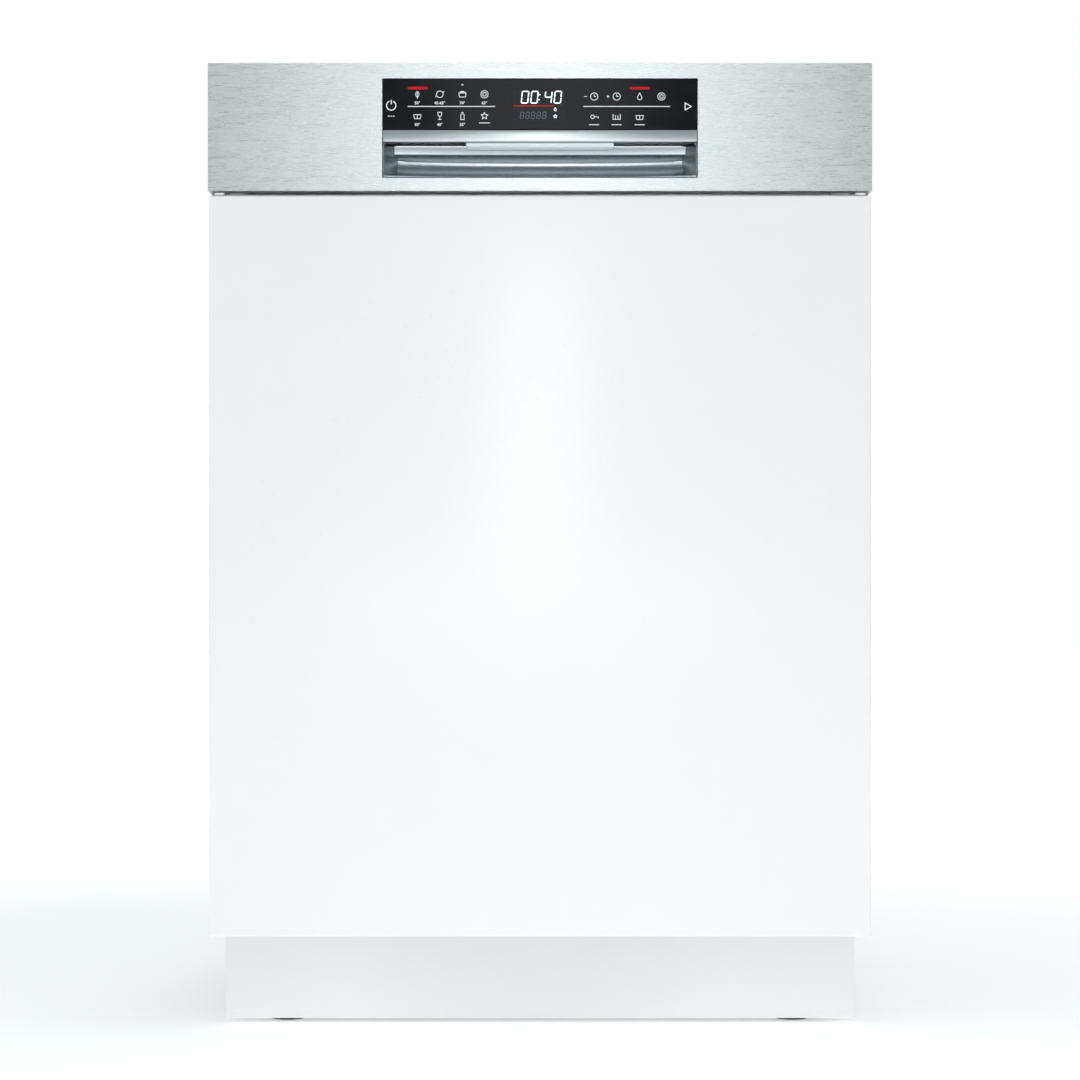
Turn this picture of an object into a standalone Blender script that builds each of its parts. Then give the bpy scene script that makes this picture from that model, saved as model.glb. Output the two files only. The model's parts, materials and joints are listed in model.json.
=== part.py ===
"""Built-in dishwasher, 598 mm wide, with a furniture panel under a steel fascia.

Metres, +Z up. The front faces -Y, X is centred, the feet stand on Z = 0.
"""

import math

import bmesh
import bpy
from mathutils import Matrix, Vector

# Overall sizes
WIDTH = 0.598
DEPTH = 0.573
HEIGHT = 0.890
HALF = WIDTH / 2
FRONT_Y = -DEPTH / 2
BACK_Y = DEPTH / 2
SHEET = 0.0012           # folded steel sheet
GAP = 0.0004             # clearance between pieces that touch

# Door
DOOR_TOP = 0.885
FASCIA_BOTTOM = 0.770
PANEL_TOP = 0.7653
PANEL_BOTTOM = 0.0989
PANEL_BACK_Y = -0.2670
SKIN_Y = -0.2665         # front of the door's outer sheet
LINER_Y = -0.2265        # border of the liner that meets the gasket
FIELD_Y = -0.2105        # raised middle of the liner, level with the tub floor when open
HINGE_Y = -0.240
HINGE_Z = 0.160

# Window in the fascia
WINDOW_HALF = 0.1420
WINDOW_BOTTOM = 0.7816
WINDOW_TOP = 0.8712
GLASS_BOTTOM = 0.8252
BAR_BOTTOM = 0.8142
BAR_TOP = 0.8249
POCKET_TOP = 0.8135
POCKET_BROW = 0.8035     # underside of the brow behind the release paddle

# Tub and base
TUB_HALF = 0.2785
TUB_FRONT_Y = -0.2215
TUB_BACK_Y = 0.2685
TUB_BOTTOM = 0.186
TUB_TOP = 0.865
TUB_FLOOR = TUB_BOTTOM + SHEET
FLANGE_HALF = 0.2885
FLANGE_BOTTOM = 0.176
FLANGE_TOP = 0.875
TRAY_HALF = 0.2880
TRAY_FRONT_Y = -0.148
TRAY_BOTTOM = 0.034
FOOT_RADIUS = 0.018

# Things inside the tub
FILTER = (0.070, -0.060)
SALT = (-0.170, -0.110)
LOWER_ARM = (0.0, 0.023)
UPPER_ARM = (0.0, 0.020)
LOWER_ARM_REACH = 0.212
UPPER_ARM_REACH = 0.198
WHEEL_RADIUS = 0.016
WHEEL_Z = 0.2060
WHEEL_YS = (-0.050, 0.170)
RAIL_Z = 0.615
RUNNER_FRONT_Y = -0.200
RUNNER_BACK_Y = 0.235

# name: base colour, roughness, metallic
FINISHES = {
    "steel": ((0.62, 0.65, 0.66), 0.30, 1.0),
    "galvanised": ((0.50, 0.52, 0.53), 0.45, 1.0),
    "trim": ((0.75, 0.77, 0.78), 0.22, 1.0),
    "white_lacquer": ((0.90, 0.92, 0.92), 0.30, 0.0),
    "black_glass": ((0.012, 0.015, 0.018), 0.08, 0.0),
    "grey_plastic": ((0.34, 0.36, 0.37), 0.50, 0.0),
    "pale_plastic": ((0.72, 0.74, 0.75), 0.45, 0.0),
    "black_plastic": ((0.03, 0.03, 0.035), 0.50, 0.0),
    "board": ((0.02, 0.16, 0.09), 0.55, 0.0),
    "rubber": ((0.08, 0.08, 0.085), 0.70, 0.0),
    "mat": ((0.06, 0.06, 0.06), 0.90, 0.0),
    "nylon_wire": ((0.62, 0.64, 0.66), 0.40, 0.0),
}


def clear_scene():
    for obj in list(bpy.data.objects):
        bpy.data.objects.remove(obj, do_unlink=True)


def finish(name):
    """The Principled material of one finish, made once."""
    material = bpy.data.materials.get(name)
    if material is None:
        colour, roughness, metallic = FINISHES[name]
        material = bpy.data.materials.new(name)
        material.use_nodes = True
        shader = material.node_tree.nodes["Principled BSDF"]
        shader.inputs["Base Color"].default_value = (*colour, 1.0)
        shader.inputs["Roughness"].default_value = roughness
        shader.inputs["Metallic"].default_value = metallic
    return material


# ---------------------------------------------------------------- shapes

def block(low, high, mesh=None):
    """A rectangular block between two opposite corners."""
    mesh = mesh or bmesh.new()
    verts = bmesh.ops.create_cube(mesh, size=1.0)["verts"]
    size = [high[i] - low[i] for i in range(3)]
    middle = [(high[i] + low[i]) / 2 for i in range(3)]
    bmesh.ops.scale(mesh, vec=size, verts=verts)
    bmesh.ops.translate(mesh, vec=middle, verts=verts)
    return mesh


def mirrored_block(low, high, side, mesh=None):
    """A block given for the +X side, turned to the side wanted (+1 or -1)."""
    xs = sorted((low[0] * side, high[0] * side))
    return block((xs[0], low[1], low[2]), (xs[1], high[1], high[2]), mesh)


def pan(low, high, wall, mouth):
    """A block hollowed from one side; mouth is the direction it opens to."""
    mesh = block(low, high)
    mouth = Vector(mouth)
    mesh.normal_update()
    face = max(mesh.faces, key=lambda f: f.normal.dot(mouth))
    bmesh.ops.inset_region(mesh, faces=[face], thickness=wall, use_even_offset=True)
    depth = sum(abs(mouth[i]) * (high[i] - low[i]) for i in range(3)) - wall
    sunk = bmesh.ops.extrude_face_region(mesh, geom=[face])["geom"]
    verts = [item for item in sunk if isinstance(item, bmesh.types.BMVert)]
    bmesh.ops.translate(mesh, vec=-depth * mouth, verts=verts)
    bmesh.ops.delete(mesh, geom=[face], context="FACES_ONLY")
    return mesh


def rod(start, end, radius, sides=16):
    """A round bar from one point to another."""
    mesh = bmesh.new()
    start, end = Vector(start), Vector(end)
    along = end - start
    turn = along.to_track_quat("Z", "Y").to_matrix().to_4x4()
    place = Matrix.Translation((start + end) / 2) @ turn
    bmesh.ops.create_cone(
        mesh, cap_ends=True, segments=sides, radius1=radius, radius2=radius,
        depth=along.length, matrix=place)
    return mesh


def upright(centre, radius, bottom, top, sides=24):
    """A round bar standing on Z, at an (x, y) centre."""
    return rod((*centre, bottom), (*centre, top), radius, sides)


def swept(outline, start_x, end_x):
    """An outline of (y, z) points drawn out along X."""
    mesh = bmesh.new()
    verts = [mesh.verts.new((start_x, y, z)) for y, z in outline]
    face = mesh.faces.new(verts)
    grown = bmesh.ops.extrude_face_region(mesh, geom=[face])["geom"]
    moved = [item for item in grown if isinstance(item, bmesh.types.BMVert)]
    bmesh.ops.translate(mesh, vec=(end_x - start_x, 0, 0), verts=moved)
    bmesh.ops.recalc_face_normals(mesh, faces=mesh.faces)
    return mesh


# --------------------------------------------------------------- objects

def piece(name, mesh, look, pivot=(0.0, 0.0, 0.0)):
    """A sub-part whose origin lies at its pivot."""
    bmesh.ops.translate(mesh, vec=-Vector(pivot), verts=mesh.verts)
    data = bpy.data.meshes.new(name)
    mesh.to_mesh(data)
    mesh.free()
    data.materials.append(finish(look))
    obj = bpy.data.objects.new(name, data)
    obj.location = pivot
    bpy.context.collection.objects.link(obj)
    return obj


def tool_piece(owner, mesh):
    """A hidden shape that a Boolean of its owner uses."""
    data = bpy.data.meshes.new(owner.name + "_tool")
    mesh.to_mesh(data)
    mesh.free()
    tool = bpy.data.objects.new(data.name, data)
    tool.hide_render = True
    tool.display_type = "WIRE"
    bpy.context.collection.objects.link(tool)
    return tool


def combine(owner, mesh, operation):
    modifier = owner.modifiers.new(operation.lower(), "BOOLEAN")
    modifier.operation = operation
    modifier.solver = "EXACT"
    modifier.object = tool_piece(owner, mesh)


def carve(owner, mesh):
    combine(owner, mesh, "DIFFERENCE")


def add(owner, mesh):
    combine(owner, mesh, "UNION")


def soften(owner, width, segments=1):
    """Rounds the sharp edges of a piece."""
    modifier = owner.modifiers.new("edges", "BEVEL")
    modifier.width = width
    modifier.segments = segments
    modifier.limit_method = "ANGLE"
    modifier.angle_limit = math.radians(50)


def round_shade(owner):
    owner.data.shade_smooth()
    owner.data.set_sharp_from_angle(angle=math.radians(40))


def window_row(count, low, high, bar):
    """Evenly spaced (start, end) pairs between two limits, with bars between."""
    pitch = (high - low + bar) / count
    return [(low + i * pitch, low + (i + 1) * pitch - bar) for i in range(count)]


# ------------------------------------------------------------ fixed body

def make_tub():
    tub = piece("tub", pan((-TUB_HALF, TUB_FRONT_Y, TUB_BOTTOM),
                           (TUB_HALF, TUB_BACK_Y, TUB_TOP), SHEET, (0, -1, 0)), "steel")
    add(tub, block((-FLANGE_HALF, TUB_FRONT_Y, FLANGE_BOTTOM),
                   (FLANGE_HALF, TUB_FRONT_Y + SHEET, FLANGE_TOP)))
    carve(tub, block((-TUB_HALF + SHEET, TUB_FRONT_Y - 0.01, TUB_FLOOR),
                     (TUB_HALF - SHEET, TUB_FRONT_Y + 0.01, TUB_TOP - SHEET)))
    ledge_inner = 0.2540
    for side in (-1, 1):
        add(tub, mirrored_block((ledge_inner, -0.205, TUB_FLOOR - SHEET / 2),
                                (TUB_HALF - SHEET / 2, 0.250, 0.1897), side))
    sump_mouth_radius = 0.050
    neck_hole_radius = 0.032
    carve(tub, upright(FILTER, sump_mouth_radius, 0.180, 0.200))
    carve(tub, upright(SALT, neck_hole_radius, 0.180, 0.200))


def make_gasket():
    low_y, high_y = LINER_Y + GAP, TUB_FRONT_Y - GAP
    gasket = piece("tub_gasket", block((-0.2862, low_y, 0.179), (0.2862, high_y, 0.8735)), "rubber")
    carve(gasket, block((-0.2770, low_y - 0.01, 0.1880), (0.2770, high_y + 0.01, 0.8635)))


def make_base_tray():
    """The open tray that carries the tub, with a rear hole for the water inlet."""
    wall = 0.003
    tray = piece("base_tray", pan((-TRAY_HALF, TRAY_FRONT_Y, TRAY_BOTTOM),
                                  (TRAY_HALF, 0.2800, TUB_BOTTOM - GAP), wall, (0, 0, 1)),
                 "grey_plastic")
    carve(tray, block((-0.2550, 0.2700, 0.057), (-0.2000, 0.2900, 0.107)))


def make_kick_plate():
    plate = piece("kick_plate", block((-0.2970, TRAY_FRONT_Y - 0.0045, 0.004),
                                      (0.2970, TRAY_FRONT_Y - GAP, 0.1480)), "white_lacquer")
    soften(plate, 0.0008)


def make_hinge_bracket(name, side):
    """A plate beside the tray that holds the hinge pin ahead of the tub."""
    inner, outer = 0.2888, 0.2910
    bracket = piece(name, mirrored_block((inner, -0.252, 0.148), (outer, -0.120, 0.1752), side),
                    "galvanised")
    add(bracket, mirrored_block((inner, -0.146, 0.060), (outer, -0.120, 0.150), side))
    hole_radius = 0.0047
    carve(bracket, rod((side * (inner - 0.01), HINGE_Y, HINGE_Z),
                       (side * (outer + 0.01), HINGE_Y, HINGE_Z), hole_radius))


def make_hinge_spring(name, side):
    """The counterbalance spring lying in the base, as one closed coil."""
    centre_x, height, radius = 0.272, 0.120, 0.0085
    spring = piece(name, rod((side * centre_x, -0.130, height), (side * centre_x, -0.010, height),
                             radius, 12), "galvanised")
    round_shade(spring)


def make_top_traverse():
    """The cross rail over the tub, with the lock's catch and the worktop tabs."""
    front, back, low, high, wall = -0.2198, -0.1800, FLANGE_TOP + 0.0010, 0.8886, 0.0012
    profile = [(front, low), (back, low), (back, high), (back - wall, high),
               (back - wall, low + wall), (front, low + wall)]
    traverse = piece("top_traverse", swept(profile, -0.285, 0.285), "galvanised")
    add(traverse, block((-0.012, -0.2385, low + 0.0003), (0.012, -0.2100, 0.8800)))
    carve(traverse, block((-0.007, -0.2345, 0.8700), (0.007, -0.2290, 0.8850)))
    tab_inner, tab_outer, tab_depth = 0.195, 0.240, 0.0015
    for side in (-1, 1):
        add(traverse, mirrored_block((tab_inner, front + 0.0003, HEIGHT - tab_depth),
                                     (tab_outer, back - 0.0003, HEIGHT), side))
        add(traverse, mirrored_block((tab_inner + 0.0003, front + 0.0006, low + 0.0006),
                                     (tab_outer - 0.0003, front + 0.0020, HEIGHT - 0.0005), side))


def make_insulation_mat():
    mat = piece("insulation_mat", block((-0.2850, -0.2150, 0.200), (0.2850, 0.2620, 0.8720)), "mat")
    carve(mat, block((-TUB_HALF - 0.0005, -0.2250, 0.190),
                     (TUB_HALF + 0.0005, 0.2720, TUB_TOP + 0.0005)))


def make_back_panel():
    piece("back_panel", pan((-0.2700, TUB_BACK_Y + 0.0005, 0.190), (0.2700, BACK_Y, 0.868),
                            SHEET, (0, -1, 0)), "galvanised")


def make_water_tank():
    tank = piece("water_tank", block((-0.2980, -0.100, 0.280), (-0.2856, 0.200, 0.750)),
                 "pale_plastic")
    soften(tank, 0.003)


def make_sump():
    outer, wall = 0.062, 0.003
    bottom, top = 0.112, TUB_BOTTOM - GAP
    sump = piece("sump", upright(FILTER, outer, bottom, top), "grey_plastic")
    carve(sump, upright(FILTER, outer - wall, bottom + wall, top + 0.01))
    round_shade(sump)


def make_filter_plate():
    """The sloping sieve, with the feed pipe of the lower spray arm standing in it."""
    plate_centre = (0.035, -0.015)
    bottom = TUB_FLOOR + GAP
    plate = piece("filter_plate", upright(plate_centre, 0.115, bottom, bottom + 0.0015, 32), "steel")
    add(plate, upright(LOWER_ARM, 0.014, bottom, 0.2120, 16))
    carve(plate, upright(FILTER, 0.0366, bottom - 0.01, bottom + 0.01))


def make_circulation_pump():
    x, height = 0.070, 0.091
    pump = piece("circulation_pump", rod((x, 0.030, height), (x, 0.200, height), 0.043, 24),
                 "black_plastic")
    add(pump, rod((x, 0.020, height), (x, 0.055, height), 0.0525, 24))
    add(pump, rod((x, 0.037, height), (x - 0.075, 0.037, height + 0.045), 0.013, 12))
    round_shade(pump)


def make_drain_pump():
    y, height = -0.060, 0.080
    pump = piece("drain_pump", rod((0.150, y, height), (0.235, y, height), 0.024, 20),
                 "black_plastic")
    add(pump, rod((0.145, y, height), (0.170, y, height), 0.031, 20))
    add(pump, rod((0.158, y, height), (0.158, y + 0.050, height + 0.020), 0.009, 12))
    round_shade(pump)


def make_softener():
    """The resin and salt tank, whose neck comes up through the tub floor."""
    softener = piece("softener", block((-0.240, -0.140, 0.038), (-0.095, 0.050, 0.170)),
                     "pale_plastic")
    soften(softener, 0.006)
    add(softener, upright(SALT, 0.030, 0.160, 0.1890))


def make_inlet_valve():
    valve = piece("inlet_valve", block((-0.250, 0.205, 0.060), (-0.205, 0.255, 0.105)),
                  "pale_plastic")
    add(valve, rod((-0.2275, 0.240, 0.082), (-0.2275, BACK_Y, 0.082), 0.013, 16))
    add(valve, rod((-0.2275, 0.230, 0.100), (-0.2275, 0.230, 0.135), 0.016, 16))


def make_riser_pipe():
    """The flat channel up the back wall and forward under the ceiling."""
    half = 0.012
    riser = piece("riser_pipe", block((-half, 0.2490, TUB_FLOOR + GAP), (half, 0.2668, 0.862)),
                  "grey_plastic")
    add(riser, block((-half, 0.000, 0.846), (half, 0.2600, 0.862)))


def make_ceiling_spray_head():
    x, y = UPPER_ARM
    head = piece("ceiling_spray_head", upright((x, y), 0.036, 0.832, 0.8455), "grey_plastic")
    add(head, upright((x, y), 0.020, 0.826, 0.834, 16))
    round_shade(head)


def make_outer_rail(name, side):
    """The rail fixed to the tub wall, a channel open to the basket."""
    inner, outer, half_height = 0.2695, TUB_HALF - SHEET - GAP, 0.015
    rail = piece(name, mirrored_block((inner, RUNNER_FRONT_Y, RAIL_Z - half_height),
                                      (outer, RUNNER_BACK_Y, RAIL_Z + half_height), side), "steel")
    carve(rail, mirrored_block((inner - 0.01, RUNNER_FRONT_Y - 0.01, RAIL_Z - 0.0125),
                               (outer - 0.0015, RUNNER_BACK_Y + 0.01, RAIL_Z + 0.0125), side))


def make_drawer_guide(name, side):
    """A channel on the tub wall that the cutlery drawer's wing slides in."""
    inner, outer = 0.2555, TUB_HALF - SHEET - GAP
    guide = piece(name, mirrored_block((inner, -0.195, 0.785), (outer, 0.235, 0.806), side),
                  "grey_plastic")
    carve(guide, mirrored_block((inner - 0.01, -0.205, 0.7905), (0.2700, 0.245, 0.8005), side))


# ---------------------------------------- what turns in the fixed body

def make_foot(name, centre):
    """A levelling foot: a round pad on a threaded stem."""
    foot = piece(name, upright(centre, FOOT_RADIUS, 0.0, 0.008, 20), "black_plastic", (*centre, 0.0))
    add(foot, upright(centre, 0.006, 0.006, TRAY_BOTTOM - GAP, 12))


def make_filter_cylinder():
    outer, wall = 0.035, 0.002
    bottom, top = 0.121, 0.2065
    cup = piece("filter_cylinder", upright(FILTER, outer, bottom, top), "grey_plastic",
                (*FILTER, bottom))
    carve(cup, upright(FILTER, outer - wall, bottom + wall, top + 0.01))
    x, y = FILTER
    add(cup, block((x - outer + 0.001, y - 0.004, top - 0.012), (x + outer - 0.001, y + 0.004, top)))


def make_salt_cap():
    x, y = SALT
    cap = piece("salt_cap", upright(SALT, 0.034, 0.1895, 0.1985), "grey_plastic", (*SALT, 0.1895))
    add(cap, block((x - 0.026, y - 0.0035, 0.197), (x + 0.026, y + 0.0035, 0.2065)))


def make_spray_arm(name, centre, reach, bottom, hub_height, look):
    """A hollow blade turning on its hub, thinner towards the tips."""
    x, y = centre
    blade_bottom, blade_top = bottom + 0.003, bottom + 0.014
    arm = piece(name, upright(centre, 0.024, bottom, bottom + hub_height), look, (x, y, bottom))
    half_width = 0.020
    blade = block((x - reach, y - half_width, blade_bottom), (x + reach, y + half_width, blade_top))
    for vert in blade.verts:
        if abs(vert.co.x - x) > reach / 2:
            vert.co.y = y + (vert.co.y - y) * 0.65
    bmesh.ops.subdivide_edges(blade, edges=[e for e in blade.edges
                                            if abs(e.verts[0].co.x - e.verts[1].co.x) > reach],
                              cuts=1, use_grid_fill=True)
    for vert in blade.verts:
        if abs(vert.co.x - x) < reach / 2:
            vert.co.y = y + math.copysign(half_width, vert.co.y - y)
    add(arm, blade)


# ------------------------------------------------------------------ door

def make_furniture_panel():
    panel = piece("furniture_panel", block((-0.2980, FRONT_Y, PANEL_BOTTOM),
                                           (0.2980, PANEL_BACK_Y, PANEL_TOP)), "white_lacquer")
    soften(panel, 0.0010, 2)


def make_door_outer():
    """The outer sheet with folded sides, behind the furniture panel."""
    half, bottom, top = 0.2975, 0.150, FASCIA_BOTTOM - 0.001
    skin = piece("door_outer", block((-half, SKIN_Y, bottom), (half, SKIN_Y + 0.001, top)),
                 "galvanised")
    for side in (-1, 1):
        add(skin, mirrored_block((half - SHEET, SKIN_Y, bottom), (half, -0.242, top), side))


def make_door_liner():
    """The steel inner skin with a raised field, the dispenser's hole and the lock's slot."""
    half, bottom, top = 0.2868, 0.165, 0.8832
    field_half, field_bottom, field_top = 0.268, 0.205, 0.855
    liner = piece("door_liner", block((-half, -0.2650, bottom), (half, LINER_Y, top)), "steel")
    add(liner, block((-field_half, LINER_Y - 0.01, field_bottom), (field_half, FIELD_Y, field_top)))
    carve(liner, block((-half + SHEET, -0.2700, bottom + SHEET),
                       (half - SHEET, LINER_Y - SHEET, top - SHEET)))
    carve(liner, block((-field_half + SHEET, -0.2400, field_bottom + SHEET),
                       (field_half - SHEET, FIELD_Y - SHEET, field_top - SHEET)))
    carve(liner, block((-0.100, -0.2200, 0.440), (0.100, -0.2000, 0.595)))
    carve(liner, block((-0.016, -0.2300, 0.8745), (0.016, -0.2200, 0.8812)))


def make_fascia():
    """The brushed front sheet, folded back all round, with the window cut in it."""
    fascia = piece("fascia", pan((-HALF, FRONT_Y, FASCIA_BOTTOM), (HALF, -0.2400, DOOR_TOP),
                                 SHEET, (0, 1, 0)), "steel")
    carve(fascia, block((-0.2976, -0.2672, 0.7650), (0.2976, -0.2300, 0.7800)))
    carve(fascia, block((-WINDOW_HALF, -0.3000, WINDOW_BOTTOM), (WINDOW_HALF, -0.2700, WINDOW_TOP)))


def make_control_glass():
    half = WINDOW_HALF - GAP
    glass = piece("control_glass", block((-half, FRONT_Y + 0.0003, GLASS_BOTTOM),
                                         (half, -0.2832, WINDOW_TOP - GAP)), "black_glass")
    soften(glass, 0.0003)


def make_control_board():
    board = piece("control_board", block((-0.130, -0.2824, 0.8290), (0.130, -0.2808, 0.8680)),
                  "board")
    add(board, block((-0.026, -0.2812, 0.8310), (0.024, -0.2760, 0.8620)))
    for x in (-0.100, -0.065, 0.060, 0.095):
        add(board, block((x - 0.008, -0.2812, 0.8400), (x + 0.008, -0.2780, 0.8560)))


def make_trim_bar():
    """A bar with a rounded front across the window, under the glass."""
    half = WINDOW_HALF - 0.0008
    middle = (BAR_TOP + BAR_BOTTOM) / 2
    half_height = (BAR_TOP - BAR_BOTTOM) / 2
    bulge, root_y, back_y = 0.0020, FRONT_Y + 0.0022, -0.2810
    steps = 8
    outline = [(back_y, BAR_TOP), (back_y, BAR_BOTTOM)]
    for i in range(steps + 1):
        angle = math.pi * (i / steps - 0.5)
        outline.append((root_y - bulge * math.cos(angle), middle + half_height * math.sin(angle)))
    bar = piece("trim_bar", swept(outline, -half, half), "trim")
    round_shade(bar)


def make_grip_pocket():
    """The scoop that fingers reach into, under a brow that the release paddle hangs before."""
    half = WINDOW_HALF - 0.0006
    front, back = FRONT_Y + 0.0008, -0.2530
    pocket = piece("grip_pocket", block((-half, front, WINDOW_BOTTOM + GAP), (half, back, POCKET_TOP)),
                   "trim")
    depth, lip, outside_y = 0.030, 0.7842, -0.2960
    outline = [(outside_y, lip)]
    steps = 10
    for i in range(steps + 1):
        angle = math.pi / 2 * i / steps
        outline.append((FRONT_Y + depth * math.sin(angle),
                        POCKET_BROW - (POCKET_BROW - lip) * math.cos(angle)))
    brow_y, above = -0.2700, POCKET_TOP + 0.004
    outline += [(brow_y, POCKET_BROW), (brow_y, above), (outside_y, above)]
    mouth_half, end_slant = 0.1400, 0.25
    scoop = swept(outline, -mouth_half, mouth_half)
    for vert in scoop.verts:
        inward = max(0.0, vert.co.y - FRONT_Y) * end_slant
        vert.co.x -= math.copysign(inward, vert.co.x)
    carve(pocket, scoop)


def make_door_lock():
    lock = piece("door_lock", block((-0.030, -0.2500, 0.845), (0.030, -0.2300, 0.8740)),
                 "black_plastic")
    soften(lock, 0.001)


def make_release_paddle():
    """The lip behind the trim bar that the fingers pull forward."""
    paddle = piece("release_paddle", block((-0.0669, -0.2725, 0.8085), (0.0669, -0.2705, 0.8225)),
                   "grey_plastic", (0.0, -0.2715, 0.8215))
    soften(paddle, 0.0005)


def make_dispenser_body():
    """The box in the liner with the detergent cup."""
    body = piece("dispenser_body", block((-0.0995, -0.2450, 0.4405), (0.0995, -0.2090, 0.5945)),
                 "grey_plastic")
    add(body, block((-0.105, FIELD_Y + GAP, 0.435), (0.105, -0.2075, 0.600)))
    carve(body, block((-0.0850, -0.2400, 0.520), (-0.0250, -0.2000, 0.575)))
    add(body, rod((0.068, -0.2085, 0.548), (0.068, -0.2050, 0.548), 0.017, 20))


def make_detergent_lid():
    lid = piece("detergent_lid", block((-0.0900, -0.2071, 0.5150), (-0.0200, -0.2046, 0.5800)),
                "pale_plastic")
    add(lid, block((-0.0750, -0.2050, 0.5680), (-0.0350, -0.2025, 0.5730)))


def make_rinse_aid_flap():
    flap = piece("rinse_aid_flap", block((0.043, -0.2071, 0.4460), (0.093, -0.2046, 0.4710)),
                 "pale_plastic", (0.0, -0.2046, 0.4705))
    soften(flap, 0.0005)


def make_hinge_arm(name, side):
    """The strap riveted to the door's side, with the pin it turns on."""
    inner, outer = 0.2932, 0.2955
    arm = piece(name, mirrored_block((inner, -0.256, HINGE_Z), (outer, -0.234, 0.420), side),
                "galvanised", (0.0, HINGE_Y, HINGE_Z))
    add(arm, rod((side * inner, HINGE_Y, HINGE_Z), (side * outer, HINGE_Y, HINGE_Z), 0.0095, 20))
    add(arm, rod((side * 0.2878, HINGE_Y, HINGE_Z), (side * 0.2940, HINGE_Y, HINGE_Z), 0.004, 16))


# --------------------------------------------------------------- baskets

def cut_windows(basket, low, high, wall, floor_counts, side_counts, rim, bar):
    """Opens the floor and the four walls of a basket into grids of windows."""
    margin = 0.012
    xs = window_row(floor_counts[0], low[0] + margin, high[0] - margin, bar)
    ys = window_row(floor_counts[1], low[1] + margin, high[1] - margin, bar)
    floor = bmesh.new()
    for x0, x1 in xs:
        for y0, y1 in ys:
            block((x0, y0, low[2] - 0.01), (x1, y1, low[2] + wall + 0.001), floor)
    carve(basket, floor)
    z0, z1 = low[2] + margin, high[2] - rim
    across = bmesh.new()
    for y0, y1 in window_row(side_counts[1], low[1] + margin, high[1] - margin, bar):
        block((low[0] - 0.01, y0, z0), (high[0] + 0.01, y1, z1), across)
    carve(basket, across)
    along = bmesh.new()
    for x0, x1 in window_row(side_counts[0], low[0] + margin, high[0] - margin, bar):
        block((x0, low[1] - 0.01, z0), (x1, high[1] + 0.01, z1), along)
    carve(basket, along)


def make_lower_basket():
    low, high, wall = (-0.250, -0.185, 0.262), (0.250, 0.235, 0.420), 0.004
    basket = piece("lower_basket", pan(low, high, wall, (0, 0, 1)), "nylon_wire")
    cut_windows(basket, low, high, wall, (6, 5), (6, 5), 0.016, 0.006)
    for side in (-1, 1):
        for y in WHEEL_YS:
            add(basket, mirrored_block((0.2440, y - 0.011, WHEEL_Z - 0.008),
                                       (0.2495, y + 0.011, 0.270), side))
            add(basket, rod((side * 0.2450, y, WHEEL_Z), (side * 0.2630, y, WHEEL_Z), 0.0038, 12))


def make_wheel(name, side, y):
    inner, outer = 0.2515, 0.2625
    wheel = piece(name, rod((side * inner, y, WHEEL_Z), (side * outer, y, WHEEL_Z), WHEEL_RADIUS, 24),
                  "grey_plastic", (side * inner, y, WHEEL_Z))
    carve(wheel, rod((side * (inner - 0.01), y, WHEEL_Z), (side * (outer + 0.01), y, WHEEL_Z),
                     0.0046, 16))
    round_shade(wheel)


def make_cutlery_basket():
    low, high, wall = (-0.065, -0.176, 0.2665), (0.065, -0.095, 0.395), 0.002
    basket = piece("cutlery_basket", pan(low, high, wall, (0, 0, 1)), "grey_plastic")
    cut_windows(basket, low, high, wall, (4, 2), (6, 4), 0.020, 0.005)
    add(basket, block((-0.0015, low[1] + 0.001, low[2] + 0.001), (0.0015, high[1] - 0.001, high[2])))


def make_tine_row(name, side):
    """A fold-down row of tines on its bar."""
    x, height, tine = 0.100, 0.2745, 0.0030
    start, end, count = -0.055, 0.205, 9
    row = piece(name, rod((side * x, start, height), (side * x, end, height), 0.0030, 8),
                "nylon_wire", (side * x, start, height))
    tines = bmesh.new()
    pitch = (end - start - 0.020) / (count - 1)
    for i in range(count):
        y = start + 0.010 + i * pitch
        block((side * x - tine / 2, y - tine / 2, height),
              (side * x + tine / 2, y + tine / 2, height + 0.080), tines)
    add(row, tines)


def make_upper_basket():
    low, high, wall = (-0.245, -0.190, 0.535), (0.245, 0.235, 0.660), 0.004
    basket = piece("upper_basket", pan(low, high, wall, (0, 0, 1)), "nylon_wire")
    cut_windows(basket, low, high, wall, (6, 5), (6, 5), 0.028, 0.006)
    for side in (-1, 1):
        add(basket, mirrored_block((0.2430, -0.189, RAIL_Z - 0.010), (0.2600, 0.234, RAIL_Z + 0.010),
                                   side))


def make_spray_duct():
    duct = piece("spray_duct", block((-0.016, UPPER_ARM[1] - 0.018, 0.5165), (0.016, 0.2375, 0.5340)),
                 "grey_plastic")
    soften(duct, 0.002)


def make_runner(name, side):
    """The middle runner of a telescopic rail."""
    inner, outer, half_height = 0.2610, 0.2735, 0.0110
    runner = piece(name, mirrored_block((inner, RUNNER_FRONT_Y + 0.005, RAIL_Z - half_height),
                                        (outer, RUNNER_BACK_Y - 0.005, RAIL_Z + half_height), side),
                   "steel")
    soften(runner, 0.001)


def make_cup_shelf():
    """A folding shelf along the left side of the upper basket."""
    axis_x, height = -0.2330, 0.6450
    low, high = (-0.2350, -0.130, height - 0.002), (-0.1600, 0.110, height + 0.002)
    shelf = piece("cup_shelf", block(low, high), "grey_plastic", (axis_x, low[1], height))
    slots = bmesh.new()
    for y0, y1 in window_row(6, low[1] + 0.012, high[1] - 0.012, 0.006):
        block((low[0] + 0.012, y0, height - 0.01), (high[0] - 0.010, y1, height + 0.01), slots)
    carve(shelf, slots)


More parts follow.
